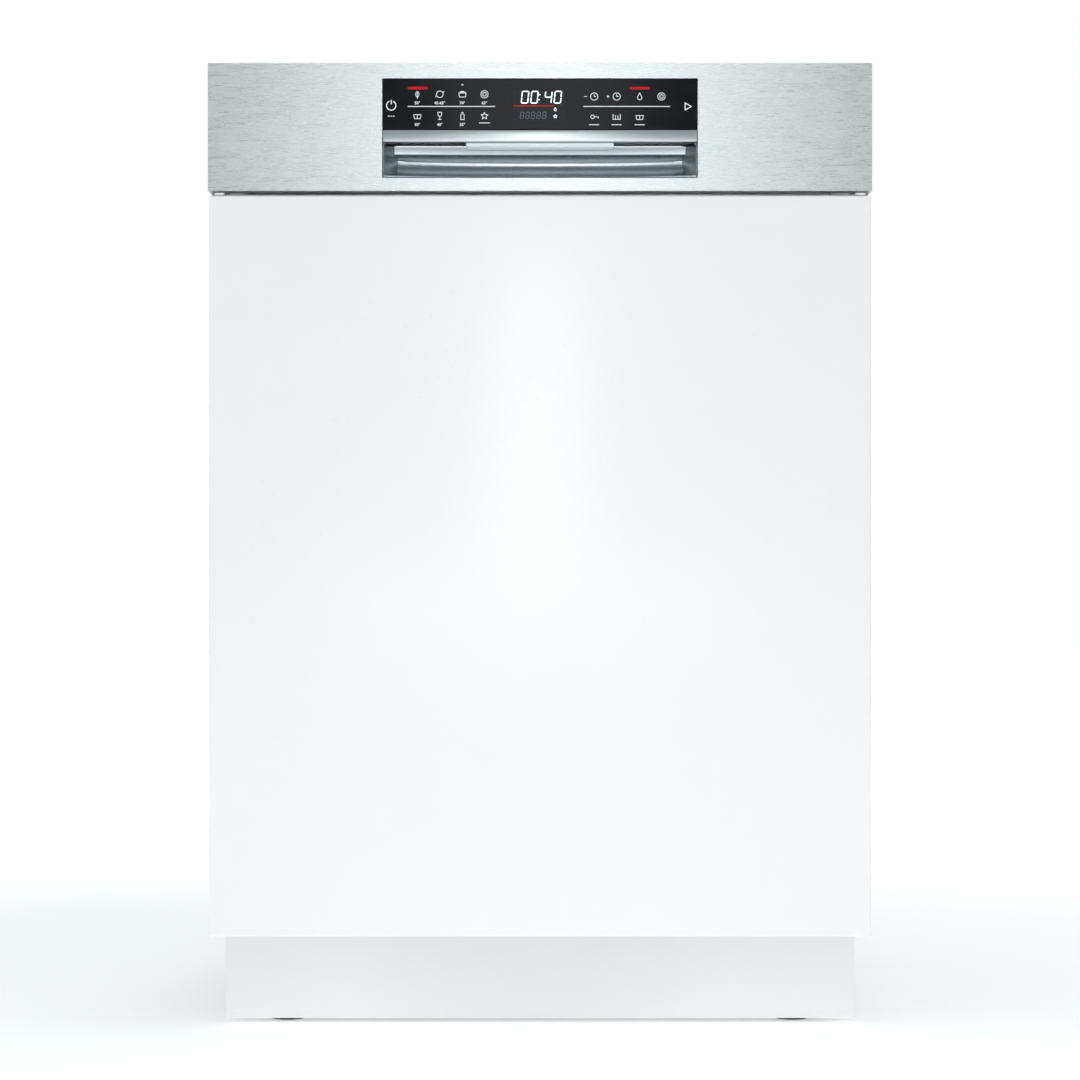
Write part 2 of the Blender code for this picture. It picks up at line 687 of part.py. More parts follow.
def make_cutlery_drawer():
    low, high, wall = (-0.245, -0.190, 0.775), (0.245, 0.230, 0.814), 0.003
    drawer = piece("cutlery_drawer", pan(low, high, wall, (0, 0, 1)), "grey_plastic")
    for side in (-1, 1):
        add(drawer, mirrored_block((0.2435, -0.189, 0.7935), (0.2670, 0.229, 0.7975), side))
    floor = bmesh.new()
    for x0, x1 in window_row(6, low[0] + 0.015, high[0] - 0.015, 0.010):
        for y0, y1 in window_row(5, low[1] + 0.020, high[1] - 0.020, 0.010):
            block((x0, y0, low[2] - 0.01), (x1, y1, low[2] + wall + 0.001), floor)
    carve(drawer, floor)


# ----------------------------------------------------------------- build

def build():
    clear_scene()
    make_tub()
    make_gasket()
    make_base_tray()
    make_kick_plate()
    make_top_traverse()
    make_insulation_mat()
    make_back_panel()
    make_water_tank()
    make_sump()
    make_filter_plate()
    make_circulation_pump()
    make_drain_pump()
    make_softener()
    make_inlet_valve()
    make_riser_pipe()
    make_ceiling_spray_head()
    make_filter_cylinder()
    make_salt_cap()
    make_foot("foot_front_left", (-0.240, -0.120))
    make_foot("foot_front_right", (0.240, -0.120))
    make_foot("foot_rear", (0.0, 0.240))
    make_spray_arm("lower_spray_arm", LOWER_ARM, LOWER_ARM_REACH, 0.2125, 0.026, "grey_plastic")
    make_spray_arm("upper_spray_arm", UPPER_ARM, UPPER_ARM_REACH, 0.4960, 0.019, "grey_plastic")
    make_furniture_panel()
    make_door_outer()
    make_door_liner()
    make_fascia()
    make_control_glass()
    make_control_board()
    make_trim_bar()
    make_grip_pocket()
    make_door_lock()
    make_release_paddle()
    make_dispenser_body()
    make_detergent_lid()
    make_rinse_aid_flap()
    make_lower_basket()
    make_cutlery_basket()
    make_upper_basket()
    make_spray_duct()
    make_cup_shelf()
    make_cutlery_drawer()
    for side, word in ((-1, "left"), (1, "right")):
        make_hinge_bracket("hinge_bracket_" + word, side)
        make_hinge_spring("hinge_spring_" + word, side)
        make_hinge_arm("hinge_arm_" + word, side)
        make_outer_rail("rail_outer_" + word, side)
        make_runner("rail_runner_" + word, side)
        make_drawer_guide("drawer_guide_" + word, side)
        make_tine_row("tine_row_" + word, side)
        for y, place in zip(WHEEL_YS, ("front", "rear")):
            make_wheel(f"wheel_{place}_{word}", side, y)


build()
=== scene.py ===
import json
import math

import bmesh
import bpy
from mathutils import Matrix, Vector


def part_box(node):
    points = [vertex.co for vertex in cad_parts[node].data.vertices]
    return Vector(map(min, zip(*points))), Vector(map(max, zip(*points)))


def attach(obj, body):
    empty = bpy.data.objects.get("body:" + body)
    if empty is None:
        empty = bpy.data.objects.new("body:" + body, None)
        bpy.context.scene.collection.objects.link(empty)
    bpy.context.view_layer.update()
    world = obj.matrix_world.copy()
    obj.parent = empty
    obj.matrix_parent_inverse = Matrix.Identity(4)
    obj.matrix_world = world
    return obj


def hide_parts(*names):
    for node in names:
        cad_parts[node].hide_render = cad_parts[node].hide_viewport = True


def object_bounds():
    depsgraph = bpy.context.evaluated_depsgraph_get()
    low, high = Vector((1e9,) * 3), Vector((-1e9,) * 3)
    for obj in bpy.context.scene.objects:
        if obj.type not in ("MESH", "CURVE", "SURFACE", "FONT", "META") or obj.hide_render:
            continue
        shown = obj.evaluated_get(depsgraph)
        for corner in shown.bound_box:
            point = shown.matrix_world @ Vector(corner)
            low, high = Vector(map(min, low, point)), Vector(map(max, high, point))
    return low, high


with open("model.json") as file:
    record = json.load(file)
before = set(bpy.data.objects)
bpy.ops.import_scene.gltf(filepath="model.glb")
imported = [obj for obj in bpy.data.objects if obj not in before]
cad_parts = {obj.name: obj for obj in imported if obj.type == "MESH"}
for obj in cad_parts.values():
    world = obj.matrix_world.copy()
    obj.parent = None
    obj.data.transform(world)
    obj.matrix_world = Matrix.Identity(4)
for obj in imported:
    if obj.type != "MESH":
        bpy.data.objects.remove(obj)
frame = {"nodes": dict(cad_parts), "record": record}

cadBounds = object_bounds()
nodes = frame["nodes"]
scene = bpy.context.scene
bodyOf = {node: body for body, members in frame["record"]["behaviour"]["bodies"].items()
          for node in members}


# camera, straight on and far back, so the front stays square
cameraSetup = {"lens": 100.0, "frameWidth": 0.972, "height": 0.4557}


def makeCamera(setup):
    data = bpy.data.cameras.new("camera")
    data.lens = setup["lens"]
    data.sensor_width = 36.0
    away = setup["frameWidth"] * setup["lens"] / data.sensor_width
    camera = bpy.data.objects.new("camera", data)
    camera.location = (0.0, cadBounds[0].y - away, setup["height"])
    camera.rotation_euler = (math.radians(90), 0.0, 0.0)
    scene.collection.objects.link(camera)
    scene.camera = camera


# studio: name, place, aim, size across and up, power, colour
studioLights = [
    ("frontKey", (0.0, -3.6, 1.25), (0.0, 0.0, 0.60), (0.40, 1.9), 14.5, (1.0, 1.0, 1.0)),
    ("frontLow", (0.0, -3.4, 0.25), (0.0, 0.0, 0.25), (2.4, 0.40), 6.8, (0.97, 0.99, 1.0)),
    ("overhead", (0.0, -0.9, 2.9), (0.0, -0.1, 0.5), (2.6, 2.0), 15, (1.0, 1.0, 1.0)),
    ("leftFill", (-2.9, -1.7, 1.5), (0.0, 0.0, 0.4), (1.2, 1.8), 17, (0.93, 0.98, 1.0)),
    ("rightFill", (2.9, -1.7, 1.5), (0.0, 0.0, 0.4), (1.2, 1.8), 17, (0.93, 0.98, 1.0)),
    ("backFill", (0.6, 3.2, 1.6), (0.0, 0.0, 0.45), (1.8, 1.6), 16, (1.0, 0.99, 0.97)),
]
studioSurround = {"seen": (1.0, 1.0, 1.0), "cast": (0.62, 0.70, 0.73), "castStrength": 0.36}


def makeLights():
    for name, place, aim, size, power, colour in studioLights:
        data = bpy.data.lights.new(name, "AREA")
        data.shape = "RECTANGLE"
        data.size, data.size_y = size
        data.energy = power
        data.color = colour
        lamp = bpy.data.objects.new(name, data)
        lamp.location = place
        toward = Vector(aim) - Vector(place)
        lamp.rotation_euler = toward.to_track_quat("-Z", "Y").to_euler()
        scene.collection.objects.link(lamp)


def makeSurround(look):
    world = bpy.data.worlds.new("surround")
    world.use_nodes = True
    scene.world = world
    tree = world.node_tree
    tree.nodes.clear()
    out = tree.nodes.new("ShaderNodeOutputWorld")
    blend = tree.nodes.new("ShaderNodeMixShader")
    rays = tree.nodes.new("ShaderNodeLightPath")
    cast = tree.nodes.new("ShaderNodeBackground")
    seen = tree.nodes.new("ShaderNodeBackground")
    cast.inputs["Color"].default_value = (*look["cast"], 1)
    cast.inputs["Strength"].default_value = look["castStrength"]
    seen.inputs["Color"].default_value = (*look["seen"], 1)
    tree.links.new(rays.outputs["Is Camera Ray"], blend.inputs[0])
    tree.links.new(cast.outputs[0], blend.inputs[1])
    tree.links.new(seen.outputs[0], blend.inputs[2])
    tree.links.new(blend.outputs[0], out.inputs[0])


makeCamera(cameraSetup)
makeLights()
makeSurround(studioSurround)
scene.view_settings.view_transform = "Standard"
print("camera and studio ready")


# shared shader groups

def newGroup(name, inputs, outputs):
    group = bpy.data.node_groups.new(name, "ShaderNodeTree")
    for socketName, kind, value in inputs:
        socket = group.interface.new_socket(socketName, in_out="INPUT", socket_type=kind)
        if value is not None:
            socket.default_value = value
    for socketName, kind in outputs:
        group.interface.new_socket(socketName, in_out="OUTPUT", socket_type=kind)
    return group, group.nodes.new("NodeGroupInput"), group.nodes.new("NodeGroupOutput")


def addNode(tree, kind, settings=None, **values):
    node = tree.nodes.new(kind)
    for key, value in (settings or {}).items():
        setattr(node, key, value)
    for key, value in values.items():
        node.inputs[key].default_value = value
    return node


def mathNode(tree, operation, first, second=None):
    node = tree.nodes.new("ShaderNodeMath")
    node.operation = operation
    for index, value in enumerate((first, second)):
        if value is None:
            continue
        if isinstance(value, (int, float)):
            node.inputs[index].default_value = value
        else:
            tree.links.new(value, node.inputs[index])
    return node.outputs[0]


def spread(tree, value, low, high):
    # a 0 to 1 value widened to low to high
    return mathNode(tree, "ADD", mathNode(tree, "MULTIPLY", value, high - low), low)


def mixColour(tree, factor, first, second):
    node = tree.nodes.new("ShaderNodeMix")
    node.data_type = "RGBA"
    for socket, value in ((node.inputs[0], factor), (node.inputs[6], first), (node.inputs[7], second)):
        if isinstance(value, (int, float, tuple)):
            socket.default_value = value
        else:
            tree.links.new(value, socket)
    return node.outputs[2]


def stretchedNoise(tree, vector, scales, detail, roughness=0.55):
    mapping = tree.nodes.new("ShaderNodeMapping")
    mapping.inputs["Scale"].default_value = scales
    tree.links.new(vector, mapping.inputs["Vector"])
    noise = addNode(tree, "ShaderNodeTexNoise", Scale=1.0, Detail=detail, Roughness=roughness)
    tree.links.new(mapping.outputs[0], noise.inputs["Vector"])
    return noise.outputs["Fac"]


def buildBrushedGrain():
    # long fine scratches along X, with slow patches over them
    group, given, out = newGroup(
        "brushedGrain",
        [("Vector", "NodeSocketVector", None), ("Tone", "NodeSocketColor", (0.6, 0.6, 0.6, 1)),
         ("Roughness", "NodeSocketFloat", 0.3), ("Strength", "NodeSocketFloat", 1.0)],
        [("Color", "NodeSocketColor"), ("Roughness", "NodeSocketFloat"), ("Height", "NodeSocketFloat")])
    vector = given.outputs["Vector"]
    fine = stretchedNoise(group, vector, (90, 1900, 1900), 3)
    broad = stretchedNoise(group, vector, (24, 420, 420), 2)
    patches = stretchedNoise(group, vector, (3.0, 6, 9), 2)
    grain = mathNode(group, "ADD", mathNode(group, "MULTIPLY", fine, 0.62),
                     mathNode(group, "MULTIPLY", broad, 0.38))
    centred = mathNode(group, "SUBTRACT", grain, 0.5)
    push = mathNode(group, "MULTIPLY", centred, given.outputs["Strength"])
    light = mathNode(group, "ADD", mathNode(group, "MULTIPLY", push, 0.55), 1.0)
    soft = mathNode(group, "MULTIPLY", light, spread(group, patches, 0.97, 1.03))
    shade = group.nodes.new("ShaderNodeVectorMath")
    shade.operation = "SCALE"
    group.links.new(given.outputs["Tone"], shade.inputs[0])
    group.links.new(soft, shade.inputs["Scale"])
    group.links.new(shade.outputs[0], out.inputs["Color"])
    rough = mathNode(group, "ADD", given.outputs["Roughness"],
                     mathNode(group, "MULTIPLY", push, 0.22))
    group.links.new(rough, out.inputs["Roughness"])
    group.links.new(grain, out.inputs["Height"])
    return group


def buildMouldGrain():
    # the fine spark-eroded texture of moulded plastic, with slight shading over a part
    group, given, out = newGroup(
        "mouldGrain",
        [("Vector", "NodeSocketVector", None), ("Tone", "NodeSocketColor", (0.5, 0.5, 0.5, 1)),
         ("Roughness", "NodeSocketFloat", 0.5), ("Grain", "NodeSocketFloat", 1400.0)],
        [("Color", "NodeSocketColor"), ("Roughness", "NodeSocketFloat"), ("Height", "NodeSocketFloat")])
    vector = given.outputs["Vector"]
    fine = addNode(group, "ShaderNodeTexNoise", Detail=2.0, Roughness=0.6)
    group.links.new(vector, fine.inputs["Vector"])
    group.links.new(given.outputs["Grain"], fine.inputs["Scale"])
    cloud = addNode(group, "ShaderNodeTexNoise", Scale=16.0, Detail=3.0, Roughness=0.55)
    group.links.new(vector, cloud.inputs["Vector"])
    light = mathNode(group, "MULTIPLY", spread(group, fine.outputs["Fac"], 0.94, 1.06),
                     spread(group, cloud.outputs["Fac"], 0.95, 1.05))
    shade = group.nodes.new("ShaderNodeVectorMath")
    shade.operation = "SCALE"
    group.links.new(given.outputs["Tone"], shade.inputs[0])
    group.links.new(light, shade.inputs["Scale"])
    group.links.new(shade.outputs[0], out.inputs["Color"])
    group.links.new(mathNode(group, "MULTIPLY", given.outputs["Roughness"],
                             spread(group, cloud.outputs["Fac"], 0.84, 1.16)),
                    out.inputs["Roughness"])
    group.links.new(fine.outputs["Fac"], out.inputs["Height"])
    return group


def buildDustFilm():
    # a thin grey film on faces that look up, broken by noise
    group, given, out = newGroup(
        "dustFilm",
        [("Vector", "NodeSocketVector", None), ("Amount", "NodeSocketFloat", 0.2)],
        [("Mask", "NodeSocketFloat")])
    geometry = group.nodes.new("ShaderNodeNewGeometry")
    parts = group.nodes.new("ShaderNodeSeparateXYZ")
    group.links.new(geometry.outputs["Normal"], parts.inputs[0])
    upward = mathNode(group, "MAXIMUM", parts.outputs["Z"], 0.0)
    noise = addNode(group, "ShaderNodeTexNoise", Scale=42.0, Detail=5.0, Roughness=0.65)
    group.links.new(given.outputs["Vector"], noise.inputs["Vector"])
    mask = mathNode(group, "MULTIPLY", mathNode(group, "MULTIPLY", upward, noise.outputs["Fac"]),
                    given.outputs["Amount"])
    group.links.new(mask, out.inputs["Mask"])
    return group


brushedGrain = buildBrushedGrain()
mouldGrain = buildMouldGrain()
dustFilm = buildDustFilm()
dustColour = (0.42, 0.41, 0.39, 1)


def placeGroup(tree, group):
    node = tree.nodes.new("ShaderNodeGroup")
    node.node_tree = group
    return node


def startMaterial(name):
    material = bpy.data.materials.new(name)
    material.use_nodes = True
    tree = material.node_tree
    shader = tree.nodes["Principled BSDF"]
    coords = tree.nodes.new("ShaderNodeTexCoord")
    return material, tree, shader, coords.outputs["Object"]


def addBump(tree, shader, height, strength, distance):
    bump = tree.nodes.new("ShaderNodeBump")
    bump.inputs["Strength"].default_value = strength
    bump.inputs["Distance"].default_value = distance
    tree.links.new(height, bump.inputs["Height"])
    tree.links.new(bump.outputs[0], shader.inputs["Normal"])


def addDust(tree, shader, colour, vector, amount):
    film = placeGroup(tree, dustFilm)
    film.inputs["Amount"].default_value = amount
    tree.links.new(vector, film.inputs["Vector"])
    tree.links.new(mixColour(tree, film.outputs["Mask"], colour, dustColour),
                   shader.inputs["Base Color"])


def metalMaterial(name, tone, roughness, grain, bumpDepth, dust=0.0, anisotropy=0.0):
    material, tree, shader, vector = startMaterial(name)
    brush = placeGroup(tree, brushedGrain)
    brush.inputs["Tone"].default_value = (*tone, 1)
    brush.inputs["Roughness"].default_value = roughness
    brush.inputs["Strength"].default_value = grain
    tree.links.new(vector, brush.inputs["Vector"])
    tree.links.new(brush.outputs["Color"], shader.inputs["Base Color"])
    tree.links.new(brush.outputs["Roughness"], shader.inputs["Roughness"])
    shader.inputs["Metallic"].default_value = 1.0
    shader.inputs["Anisotropic"].default_value = anisotropy
    addBump(tree, shader, brush.outputs["Height"], 0.35, bumpDepth)
    if dust:
        addDust(tree, shader, brush.outputs["Color"], vector, dust)
    return material


def plasticMaterial(name, tone, roughness, bumpDepth=0.00008, grain=1400.0, dust=0.0, coat=0.0,
                    shine=0.5):
    material, tree, shader, vector = startMaterial(name)
    mould = placeGroup(tree, mouldGrain)
    mould.inputs["Tone"].default_value = (*tone, 1)
    mould.inputs["Roughness"].default_value = roughness
    mould.inputs["Grain"].default_value = grain
    tree.links.new(vector, mould.inputs["Vector"])
    tree.links.new(mould.outputs["Color"], shader.inputs["Base Color"])
    tree.links.new(mould.outputs["Roughness"], shader.inputs["Roughness"])
    shader.inputs["Coat Weight"].default_value = coat
    shader.inputs["Specular IOR Level"].default_value = shine
    addBump(tree, shader, mould.outputs["Height"], 0.4, bumpDepth)
    if dust:
        addDust(tree, shader, mould.outputs["Color"], vector, dust)
    return material


def galvanisedMaterial():
    # zinc spangle: flat crystals of slightly different greys
    material, tree, shader, vector = startMaterial("galvanised")
    crystals = addNode(tree, "ShaderNodeTexVoronoi", {"feature": "F1"}, Scale=150.0, Randomness=1.0)
    tree.links.new(vector, crystals.inputs["Vector"])
    parts = tree.nodes.new("ShaderNodeSeparateColor")
    tree.links.new(crystals.outputs["Color"], parts.inputs[0])
    grain = stretchedNoise(tree, vector, (300, 300, 300), 3)
    mottled = mathNode(tree, "ADD", mathNode(tree, "MULTIPLY", parts.outputs[0], 0.7),
                       mathNode(tree, "MULTIPLY", grain, 0.3))
    colour = mixColour(tree, mottled, (0.47, 0.49, 0.50, 1), (0.61, 0.63, 0.64, 1))
    addDust(tree, shader, colour, vector, 0.35)
    tree.links.new(spread(tree, mottled, 0.34, 0.50), shader.inputs["Roughness"])
    shader.inputs["Metallic"].default_value = 1.0
    addBump(tree, shader, mottled, 0.2, 0.0001)
    return material


def lacquerMaterial():
    # sprayed white lacquer: a faint orange peel and almost no change of tone
    material, tree, shader, vector = startMaterial("whiteLacquer")
    peel = stretchedNoise(tree, vector, (210, 210, 210), 2, 0.4)
    cloud = stretchedNoise(tree, vector, (2.2, 2.2, 2.2), 3)
    colour = mixColour(tree, cloud, (0.935, 0.925, 0.930, 1), (0.965, 0.945, 0.945, 1))
    tree.links.new(colour, shader.inputs["Base Color"])
    tree.links.new(spread(tree, mathNode(tree, "MULTIPLY", peel, cloud), 0.26, 0.40),
                   shader.inputs["Roughness"])
    shader.inputs["Coat Weight"].default_value = 0.25
    shader.inputs["Coat Roughness"].default_value = 0.18
    addBump(tree, shader, peel, 0.16, 0.00012)
    return material


def blackGlassMaterial():
    # deep black gloss with faint finger marks in its roughness
    material, tree, shader, vector = startMaterial("blackGlass")
    smear = stretchedNoise(tree, vector, (30, 30, 55), 4, 0.6)
    colour = mixColour(tree, smear, (0.0065, 0.0075, 0.0100, 1), (0.0110, 0.0130, 0.0155, 1))
    tree.links.new(colour, shader.inputs["Base Color"])
    tree.links.new(spread(tree, smear, 0.05, 0.16), shader.inputs["Roughness"])
    shader.inputs["Specular IOR Level"].default_value = 0.05
    addBump(tree, shader, smear, 0.05, 0.00005)
    return material


def printMaterial(name, tone, glow, strength):
    # screen print, a little uneven, lit from behind
    material, tree, shader, vector = startMaterial(name)
    speck = stretchedNoise(tree, vector, (2600, 2600, 2600), 2)
    colour = mixColour(tree, speck, tuple(0.86 * part for part in tone) + (1,), (*tone, 1))
    tree.links.new(colour, shader.inputs["Base Color"])
    tree.links.new(mixColour(tree, speck, tuple(0.8 * part for part in glow) + (1,), (*glow, 1)),
                   shader.inputs["Emission Color"])
    shader.inputs["Emission Strength"].default_value = strength
    shader.inputs["Specular IOR Level"].default_value = 0.15
    tree.links.new(spread(tree, speck, 0.35, 0.5), shader.inputs["Roughness"])
    return material


def feltMaterial():
    # felt pressed on bitumen: matted fibres, lighter where they stand up
    material, tree, shader, vector = startMaterial("bitumenFelt")
    fibres = stretchedNoise(tree, vector, (620, 620, 620), 5, 0.7)
    swirl = stretchedNoise(tree, vector, (34, 34, 34), 4, 0.6)
    blend = mathNode(tree, "ADD", mathNode(tree, "MULTIPLY", fibres, 0.6),
                     mathNode(tree, "MULTIPLY", swirl, 0.4))
    colour = mixColour(tree, blend, (0.030, 0.031, 0.034, 1), (0.115, 0.115, 0.120, 1))
    addDust(tree, shader, colour, vector, 0.3)
    tree.links.new(spread(tree, fibres, 0.85, 1.0), shader.inputs["Roughness"])
    shader.inputs["Sheen Weight"].default_value = 0.25
    addBump(tree, shader, blend, 0.8, 0.0009)
    return material


def rubberMaterial():
    material, tree, shader, vector = startMaterial("sealRubber")
    fine = stretchedNoise(tree, vector, (900, 900, 900), 3, 0.6)
    bloom = stretchedNoise(tree, vector, (26, 26, 26), 4, 0.6)
    colour = mixColour(tree, bloom, (0.045, 0.046, 0.050, 1), (0.085, 0.086, 0.090, 1))
    tree.links.new(colour, shader.inputs["Base Color"])
    tree.links.new(spread(tree, bloom, 0.55, 0.75), shader.inputs["Roughness"])
    addBump(tree, shader, fine, 0.4, 0.00012)
    return material


def meshMaterial():
    # fine perforated sheet: a square grid of holes in steel; the holes are painted near-black, as painted
    # shade in place of real openings
    material, tree, shader, vector = startMaterial("filterMesh")
    parts = tree.nodes.new("ShaderNodeSeparateXYZ")
    tree.links.new(vector, parts.inputs[0])
    pitch = 0.0022
    waves = [mathNode(tree, "ABSOLUTE", mathNode(tree, "SINE", mathNode(
        tree, "MULTIPLY", parts.outputs[axis], math.pi / pitch))) for axis in "XYZ"]
    pair = mathNode(tree, "MULTIPLY", waves[0], waves[1])
    side = mathNode(tree, "MAXIMUM", pair, mathNode(tree, "MULTIPLY", waves[2], 0.5))
    holeAndShadeMask = addNode(tree, "ShaderNodeMapRange", **{"From Min": 0.42, "From Max": 0.55})
    tree.links.new(pair, holeAndShadeMask.inputs["Value"])
    grain = stretchedNoise(tree, vector, (420, 420, 420), 3)
    steel = mixColour(tree, grain, (0.44, 0.46, 0.47, 1), (0.60, 0.62, 0.63, 1))
    # painted shade: the hole mask darkens the steel to near-black where real openings would show shade
    tree.links.new(mixColour(tree, holeAndShadeMask.outputs[0], steel, (0.03, 0.032, 0.034, 1)),
                   shader.inputs["Base Color"])
    shader.inputs["Metallic"].default_value = 0.9
    tree.links.new(spread(tree, side, 0.30, 0.48), shader.inputs["Roughness"])
    addBump(tree, shader, mathNode(tree, "SUBTRACT", 1.0, holeAndShadeMask.outputs[0]), 0.5, 0.0002)
    return material


def boardMaterial():
    # solder mask with darker tracks under it
    material, tree, shader, vector = startMaterial("circuitBoard")
    tracks = addNode(tree, "ShaderNodeTexBrick", Scale=160.0)
    tree.links.new(vector, tracks.inputs["Vector"])
    speck = stretchedNoise(tree, vector, (700, 700, 700), 3)
    colour = mixColour(tree, tracks.outputs["Fac"], (0.010, 0.120, 0.060, 1), (0.030, 0.190, 0.110, 1))
    tree.links.new(mixColour(tree, speck, colour, (0.02, 0.10, 0.06, 1)), shader.inputs["Base Color"])
    tree.links.new(spread(tree, speck, 0.3, 0.5), shader.inputs["Roughness"])
    addBump(tree, shader, tracks.outputs["Fac"], 0.3, 0.00008)
    return material


looks = {
    "brushedSteel": metalMaterial("brushedSteel", (0.49, 0.519, 0.526), 0.28, 1.0, 0.00003, 0.0, 0.55),
    "tubSteel": metalMaterial("tubSteel", (0.76, 0.78, 0.79), 0.31, 0.5, 0.00002, 0.0, 0.2),
    "satinSilver": metalMaterial("satinSilver", (0.32, 0.345, 0.35), 0.27, 0.35, 0.00001),
    "trimSilver": metalMaterial("trimSilver", (0.57, 0.605, 0.615), 0.36, 0.35, 0.00001),
    "pocketSilver": metalMaterial("pocketSilver", (0.34, 0.375, 0.39), 0.25, 0.25, 0.00001),
    "paddleSilver": metalMaterial("paddleSilver", (0.33, 0.36, 0.37), 0.28, 0.25, 0.00001),
    "displayTint": plasticMaterial("displayTint", (0.017, 0.020, 0.024), 0.12, 0.00001, shine=0.04),
    "springSteel": metalMaterial("springSteel", (0.45, 0.46, 0.47), 0.33, 0.6, 0.00003, 0.15),
    "galvanised": galvanisedMaterial(),
    "whiteLacquer": lacquerMaterial(),
    "blackGlass": blackGlassMaterial(),
    "whitePrint": printMaterial("whitePrint", (0.85, 0.88, 0.90), (0.80, 0.88, 0.92), 0.35),
    "dimPrint": printMaterial("dimPrint", (0.16, 0.19, 0.21), (0.2, 0.25, 0.28), 0.05),
    "redPrint": printMaterial("redPrint", (0.48, 0.006, 0.014), (0.80, 0.010, 0.022), 0.16),
    "digitGlow": printMaterial("digitGlow", (0.90, 0.95, 0.98), (0.85, 0.95, 1.0), 0.9),
    "greyPlastic": plasticMaterial("greyPlastic", (0.235, 0.250, 0.260), 0.42),
    "armPlastic": plasticMaterial("armPlastic", (0.30, 0.32, 0.335), 0.36),
    "palePlastic": plasticMaterial("palePlastic", (0.66, 0.685, 0.69), 0.38, coat=0.1),
    "basePlastic": plasticMaterial("basePlastic", (0.085, 0.089, 0.095), 0.50, 0.00016, 900.0, 0.25),
    "blackPlastic": plasticMaterial("blackPlastic", (0.022, 0.023, 0.026), 0.45, dust=0.15),
    "wireCoat": plasticMaterial("wireCoat", (0.46, 0.49, 0.51), 0.34, 0.00003, 600.0, coat=0.25),
    "blueAccent": plasticMaterial("blueAccent", (0.055, 0.16, 0.28), 0.40),
    "bitumenFelt": feltMaterial(),
    "sealRubber": rubberMaterial(),
    "circuitBoard": boardMaterial(),
    "filterMesh": meshMaterial(),
}
print("materials ready:", len(looks))


# mesh helpers

def finishPiece(name, mesh, node, look, bevel=0.0, smoothAngle=38, segments=2, standsFor=False):
    # it rides with the node's body, and hides the node when it stands for it
    data = bpy.data.meshes.new(name)
    mesh.to_mesh(data)
    mesh.free()
    data.materials.append(looks[look])
    obj = bpy.data.objects.new(name, data)
    scene.collection.objects.link(obj)
    data.shade_smooth()
    data.set_sharp_from_angle(angle=math.radians(smoothAngle))
    if bevel:
        edges = obj.modifiers.new("edges", "BEVEL")
        edges.width = bevel
        edges.segments = segments
        edges.limit_method = "ANGLE"
        edges.angle_limit = math.radians(32)
        edges.use_clamp_overlap = True
        edges.harden_normals = True
    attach(obj, bodyOf[node])
    if standsFor:
        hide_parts(node)
    return obj


def copyNode(node):
    # the CAD shape as one clean mesh, with its flat faces joined up again
    mesh = bmesh.new()
    mesh.from_mesh(nodes[node].data)
    bmesh.ops.remove_doubles(mesh, verts=mesh.verts, dist=0.00002)
    bmesh.ops.dissolve_limit(mesh, angle_limit=math.radians(0.6), verts=mesh.verts,
                             edges=mesh.edges, delimit={"NORMAL"})
    return mesh


def refineNode(node, look, bevel, segments=2):
    finishPiece(node + "_skin", copyNode(node), node, look, bevel, segments=segments, standsFor=True)


def addBlock(mesh, low, high, bevel=0.0, segments=2):
    made = bmesh.ops.create_cube(mesh, size=1.0)["verts"]
    bmesh.ops.scale(mesh, vec=[high[i] - low[i] for i in range(3)], verts=made)
    bmesh.ops.translate(mesh, vec=[(high[i] + low[i]) / 2 for i in range(3)], verts=made)
    if bevel:
        edges = list({edge for vert in made for edge in vert.link_edges})
        bmesh.ops.bevel(mesh, geom=edges, offset=bevel, segments=segments, profile=0.5,
                        affect="EDGES", material=-1, clamp_overlap=True)
    return mesh


def addRod(mesh, start, end, radius, sides=10, endRadius=None):
    start, end = Vector(start), Vector(end)
    along = end - start
    place = Matrix.Translation((start + end) / 2) @ along.to_track_quat("Z", "Y").to_matrix().to_4x4()
    made = bmesh.ops.create_cone(
        mesh, cap_ends=True, segments=sides, radius1=radius,
        radius2=radius if endRadius is None else endRadius, depth=along.length, matrix=place)
    return made["verts"]


def addRodRing(mesh, centre, ringRadius, count, bottom, top, radius, sides):
    # upright rods spaced evenly round a centre
    for turn in range(count):
        angle = math.tau * turn / count
        x, y = centre.x + ringRadius * math.cos(angle), centre.y + ringRadius * math.sin(angle)
        addRod(mesh, (x, y, bottom), (x, y, top), radius, sides)


def addPrism(mesh, outline, along):
    # a flat outline pulled out into a solid
    end = mesh.faces.new([mesh.verts.new(point) for point in outline])
    grown = bmesh.ops.extrude_face_region(mesh, geom=[end])["geom"]
    bmesh.ops.translate(mesh, vec=along,
                        verts=[item for item in grown if isinstance(item, bmesh.types.BMVert)])


def addTurned(mesh, profile, centre, sides=32):
    # a profile of (radius, height) points spun about an upright axis
    verts = [mesh.verts.new((centre[0] + radius, centre[1], height)) for radius, height in profile]
    edges = [mesh.edges.new((verts[i], verts[i + 1])) for i in range(len(verts) - 1)]
    bmesh.ops.spin(mesh, geom=verts + edges, cent=(centre[0], centre[1], 0), axis=(0, 0, 1),
                   angle=math.tau, steps=sides, use_merge=True, use_duplicate=False)
    bmesh.ops.remove_doubles(mesh, verts=mesh.verts, dist=0.00001)
    bmesh.ops.recalc_face_normals(mesh, faces=mesh.faces)
    return mesh


